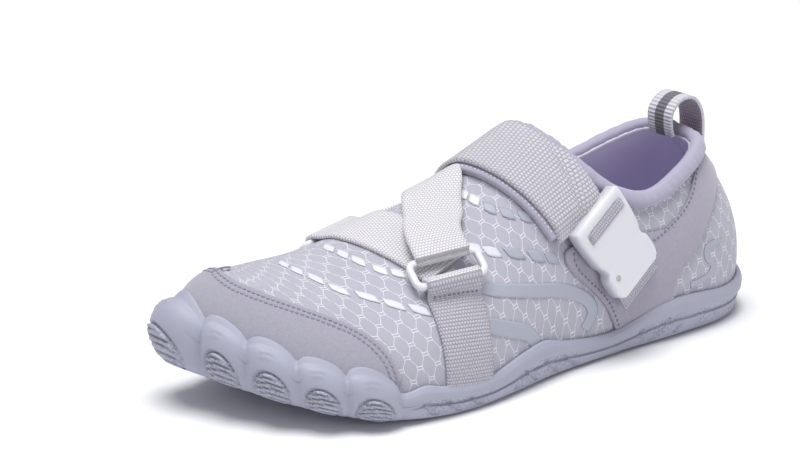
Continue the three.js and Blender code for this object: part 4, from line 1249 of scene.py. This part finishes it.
# Pull loop at the heel: x and z of its line from the rear leg's foot, its width, and the steps of that leg
LOOP_LINE = [(13.6, 52), (13.8, 60), (12.9, 69), (13.6, 78), (17.5, 84)]
LOOP_LINE += [(23.5, 84.6), (28.3, 80.5), (28.6, 75), (27.6, 71)]
LOOP_WIDE = 13
LOOP_LEG = 24


def pull_loop():
    def point(i, j):
        p = smooth_line(LOOP_LINE, i / 64)
        spot = row(p.x, 0, p.y)
        heel = SKIN.ray_cast(spot - Vector((0.1, 0, 0)), Vector((1, 0, 0)))[0]
        if i < LOOP_LEG and heel is not None:
            spot.x = min(spot.x, heel.x - 0.4 * MM)
        return spot + Vector((0, (j / 12 - 0.5) * LOOP_WIDE * MM, 0))

    bm = grid(64, 12, point, lambda i, j: (i * 0.9, (j / 12 - 0.5) * LOOP_WIDE))
    loop = piece("pull_loop", bm, "pull_loop", LOOP, thick=1.4)
    loop.data.materials.append(LOOP_INSIDE)
    loop.modifiers["thickness"].material_offset = 1


pull_loop()

# Stitches and printed film


def stitch_rows(name, lines, pitch, size, lift, material):
    """Raised stitches along lines of points, each size = (length, width, height) in millimetres."""
    bm = bmesh.new()
    bm.loops.layers.uv.new("UVMap")
    for line in lines:
        left = pitch * MM * 0.5
        for a, b in zip(line, line[1:]):
            run = b - a
            far = run.length
            while left < far:
                at = a + run * (left / far)
                spot, normal = seat(at)
                along_run = (run - normal * run.dot(normal)).normalized()
                across = normal.cross(along_run)
                spans = (along_run * size[0], across * size[1], normal * size[2])
                bead(bm, spot + normal * lift * MM, spans, 6, 4)
                left += pitch * MM
            left -= far
    piece(name, bm, None, material)


def cap_line(back):
    sides = []
    for outer in (True, False):
        start = cap_start(outer, back)
        sides.append([on_upper(outer, start(v), v) for v in CAP_LEVELS])
    return sides[0] + sides[1][::-1]


THREAD = Paint("thread", linear(226, 225, 233), 0.7).material
THREAD_GREY = Paint("thread_grey", linear(150, 147, 166), 0.7).material
THREAD_DARK = Paint("thread_dark", linear(122, 118, 138), 0.7).material
CAP_LINES = [cap_line(-1.7), cap_line(-3.5)]
stitch_rows("cap_stitches", CAP_LINES, 2.0, (1.6, 0.9, 0.8), 1.45, THREAD_GREY)
HEEL_LINE = [heel_place(lerp(0.03, 0.97, k / 90), 0.94, 1) for k in range(91)]
stitch_rows("heel_stitches", [HEEL_LINE], 2.2, (1.4, 0.9, 0.5), 1.45, THREAD_DARK)


# Levels between which the collar's line zigzags, just below its roll
ZIGZAG = (0.845, 0.9)


def collar_zigzag(outer):
    return [on_upper(outer, s, ZIGZAG[k % 2]) for k, s in enumerate(COLLAR_SHARES[2:-6])]


COLLAR_LINES = [collar_zigzag(True), collar_zigzag(False)]
stitch_rows("collar_stitches", COLLAR_LINES, 1.5, (1.5, 0.6, 0.5), 0.15, THREAD)

# One row across the outer anchor, below its ring, and one along the pad's front edge
down = smooth_line(in_row(OUTER_ANCHOR), 0.74)
half_row = OUTER_DOWN[1] * 9.6 * MM
ANCHOR_ROW = [down - half_row, down + half_row]
stitch_rows("anchor_stitches", [ANCHOR_ROW], 1.9, (1.3, 0.9, 0.6), 3.1, THREAD_DARK)
pad_edge = [seat(p + AIM * 14 * MM)[0] for p in band_line(24, 118, 90)]
stitch_rows("pad_stitches", [pad_edge], 1.7, (1.1, 0.8, 0.5), 3.7, THREAD)

FILM = Paint("film", linear(214, 217, 224), 0.45).material
FILM_GREY = Paint("film_grey", linear(168, 172, 185), 0.45).material
# Printed dashes in rows: their width, then their middles; rear rows are greyer after their first two
DASHES = [
    (3.4, [
        (208.5, -10.5, 50.3), (207.7, -3.8, 49.4), (205.1, 3.9, 47.6), (201.5, 12.9, 44.9),
        (194.4, 20.5, 42.5), (187.4, 27.6, 40), (179.7, 32.6, 37.4),
    ]),
    (3.6, [
        (188.2, -9.4, 52.8), (187.3, -2.3, 52.1), (185.6, 4.8, 50.6), (182.4, 13.4, 48.8),
        (178, 18.2, 47.5),
    ]),
    (4.6, [
        (134.8, 4.8, 66.9), (133.3, 9.3, 65.2), (130.7, 15.2, 63.1), (125.9, 19.3, 60.9),
        (119.9, 22.5, 59.4), (114.9, 25, 57.6),
    ]),
    (4.4, [
        (145.7, 23.9, 52.2), (140.1, 27.3, 50.8), (131.1, 29.3, 48.8), (121.6, 30.8, 46.2),
        (114.3, 31.7, 44.5),
    ]),
]
# Printed bands: width, then middle line
SWEEPS = [
    (5.4, [
        (154, 34, 41), (142.2, 36.3, 38.4), (127.6, 35.8, 35.1), (112, 34.5, 31.8),
        (99.9, 34.1, 26.5), (95.5, 33.9, 20.1), (99.7, 34.2, 13.7),
    ]),
    (6.4, [(156, 41, 29), (143.7, 41.5, 24.8), (134, 40.2, 21), (128, 39.5, 15)]),
    (2.6, [
        (24.6, 30.1, 33.6), (33, 31.8, 33), (34, 32, 29), (30.6, 32, 25), (34, 33, 21),
        (43.3, 33.1, 19.7),
    ]),
]
# A dash's half length as a share of the step to the next, its slant, and its lift in millimetres
DASH_HALF, DASH_SLANT, DASH_LIFT = 0.38, 0.35, 0.14
for r, (width, dashes) in enumerate(DASHES):
    points = in_row(dashes)
    last = len(points) - 1
    for k, p in enumerate(points):
        after, before = min(last, k + 1), max(0, k - 1)
        step = (points[after] - points[before]) / (after - before)
        normal = seat(p)[1]
        wide = normal.cross(step).normalized() * width / 2 * MM
        wide = wide if wide.z < 0 else -wide

        def corner(i, j, p=p, run=step * DASH_HALF, wide=wide):
            a, b = i / 4 - 1, j / 2 - 1
            spot, up = seat(p + run * (a + DASH_SLANT * b) + wide * b * (1 - 0.2 * abs(a)))
            return spot + up * DASH_LIFT * MM

        ink = FILM if r < 2 or k < 2 else FILM_GREY
        dash = outward(grid(8, 4, corner))
        piece(f"film_dash_{r}_{k}", dash, None, ink, thick=0.22)
for k, (width, line) in enumerate(SWEEPS):
    strip = drape(in_row(line), width, 0.1, 60, 6, lambda t: min(1, 0.5 + 5 * t))
    piece(f"film_sweep_{k}", strip, None, FILM_GREY, thick=0.25)

# Stage
bpy.ops.mesh.primitive_plane_add(size=6, location=(0.1, 0, -0.0002))
floor = bpy.context.active_object
floor.name = "floor"
floor.data.materials.append(Paint("floor", (0.86, 0.86, 0.88, 1), 0.6).material)
world = bpy.data.worlds.new("studio")
bpy.context.scene.world = world
world.use_nodes = True
sky = world.node_tree.nodes["Background"].inputs
sky["Color"].default_value = (0.97, 0.97, 1.0, 1)
sky["Strength"].default_value = 0.36


def light(name, place, aim, size, power):
    data = bpy.data.lights.new(name, "AREA")
    data.size = size
    data.energy = power
    obj = put(name, data)
    obj.location = place
    obj.rotation_euler = (Vector(aim) - Vector(place)).to_track_quat("-Z", "Y").to_euler()


sun_data = bpy.data.lights.new("sky", "SUN")
sun_data.energy = 3.1
sun_data.angle = math.radians(40)
sun = put("sky", sun_data)
sun.rotation_euler = Vector((-0.14, 0.0, -1)).to_track_quat("-Z", "Y").to_euler()
light("fill", (0.1, 1.5, 0.4), (0.05, 0, 0.03), 0.8, 3.4)

# Camera at the photo's angle; its focal length is in the photo's pixels
AZIMUTH, ELEVATION = math.radians(140.46), math.radians(17)
LEVEL = math.cos(ELEVATION)
BACK = Vector((math.sin(AZIMUTH) * LEVEL, -math.cos(AZIMUTH) * LEVEL, math.sin(ELEVATION)))
FOCAL_PIXELS, PHOTO_WIDTH, SENSOR = 3902.5, 800, 36
AIMED_AT = Vector((0.10463, -0.02804, 0.04329))
AWAY = 1.4938
camera_data = bpy.data.cameras.new("camera")
camera = put("camera", camera_data)
camera_data.sensor_width = SENSOR
camera_data.lens = FOCAL_PIXELS * SENSOR / PHOTO_WIDTH
camera_data.clip_start = 0.05
camera.location = AIMED_AT + BACK * AWAY
camera.rotation_euler = (-BACK).to_track_quat("-Z", "Y").to_euler()
bpy.context.scene.camera = camera
bpy.context.scene.view_settings.view_transform = "Standard"
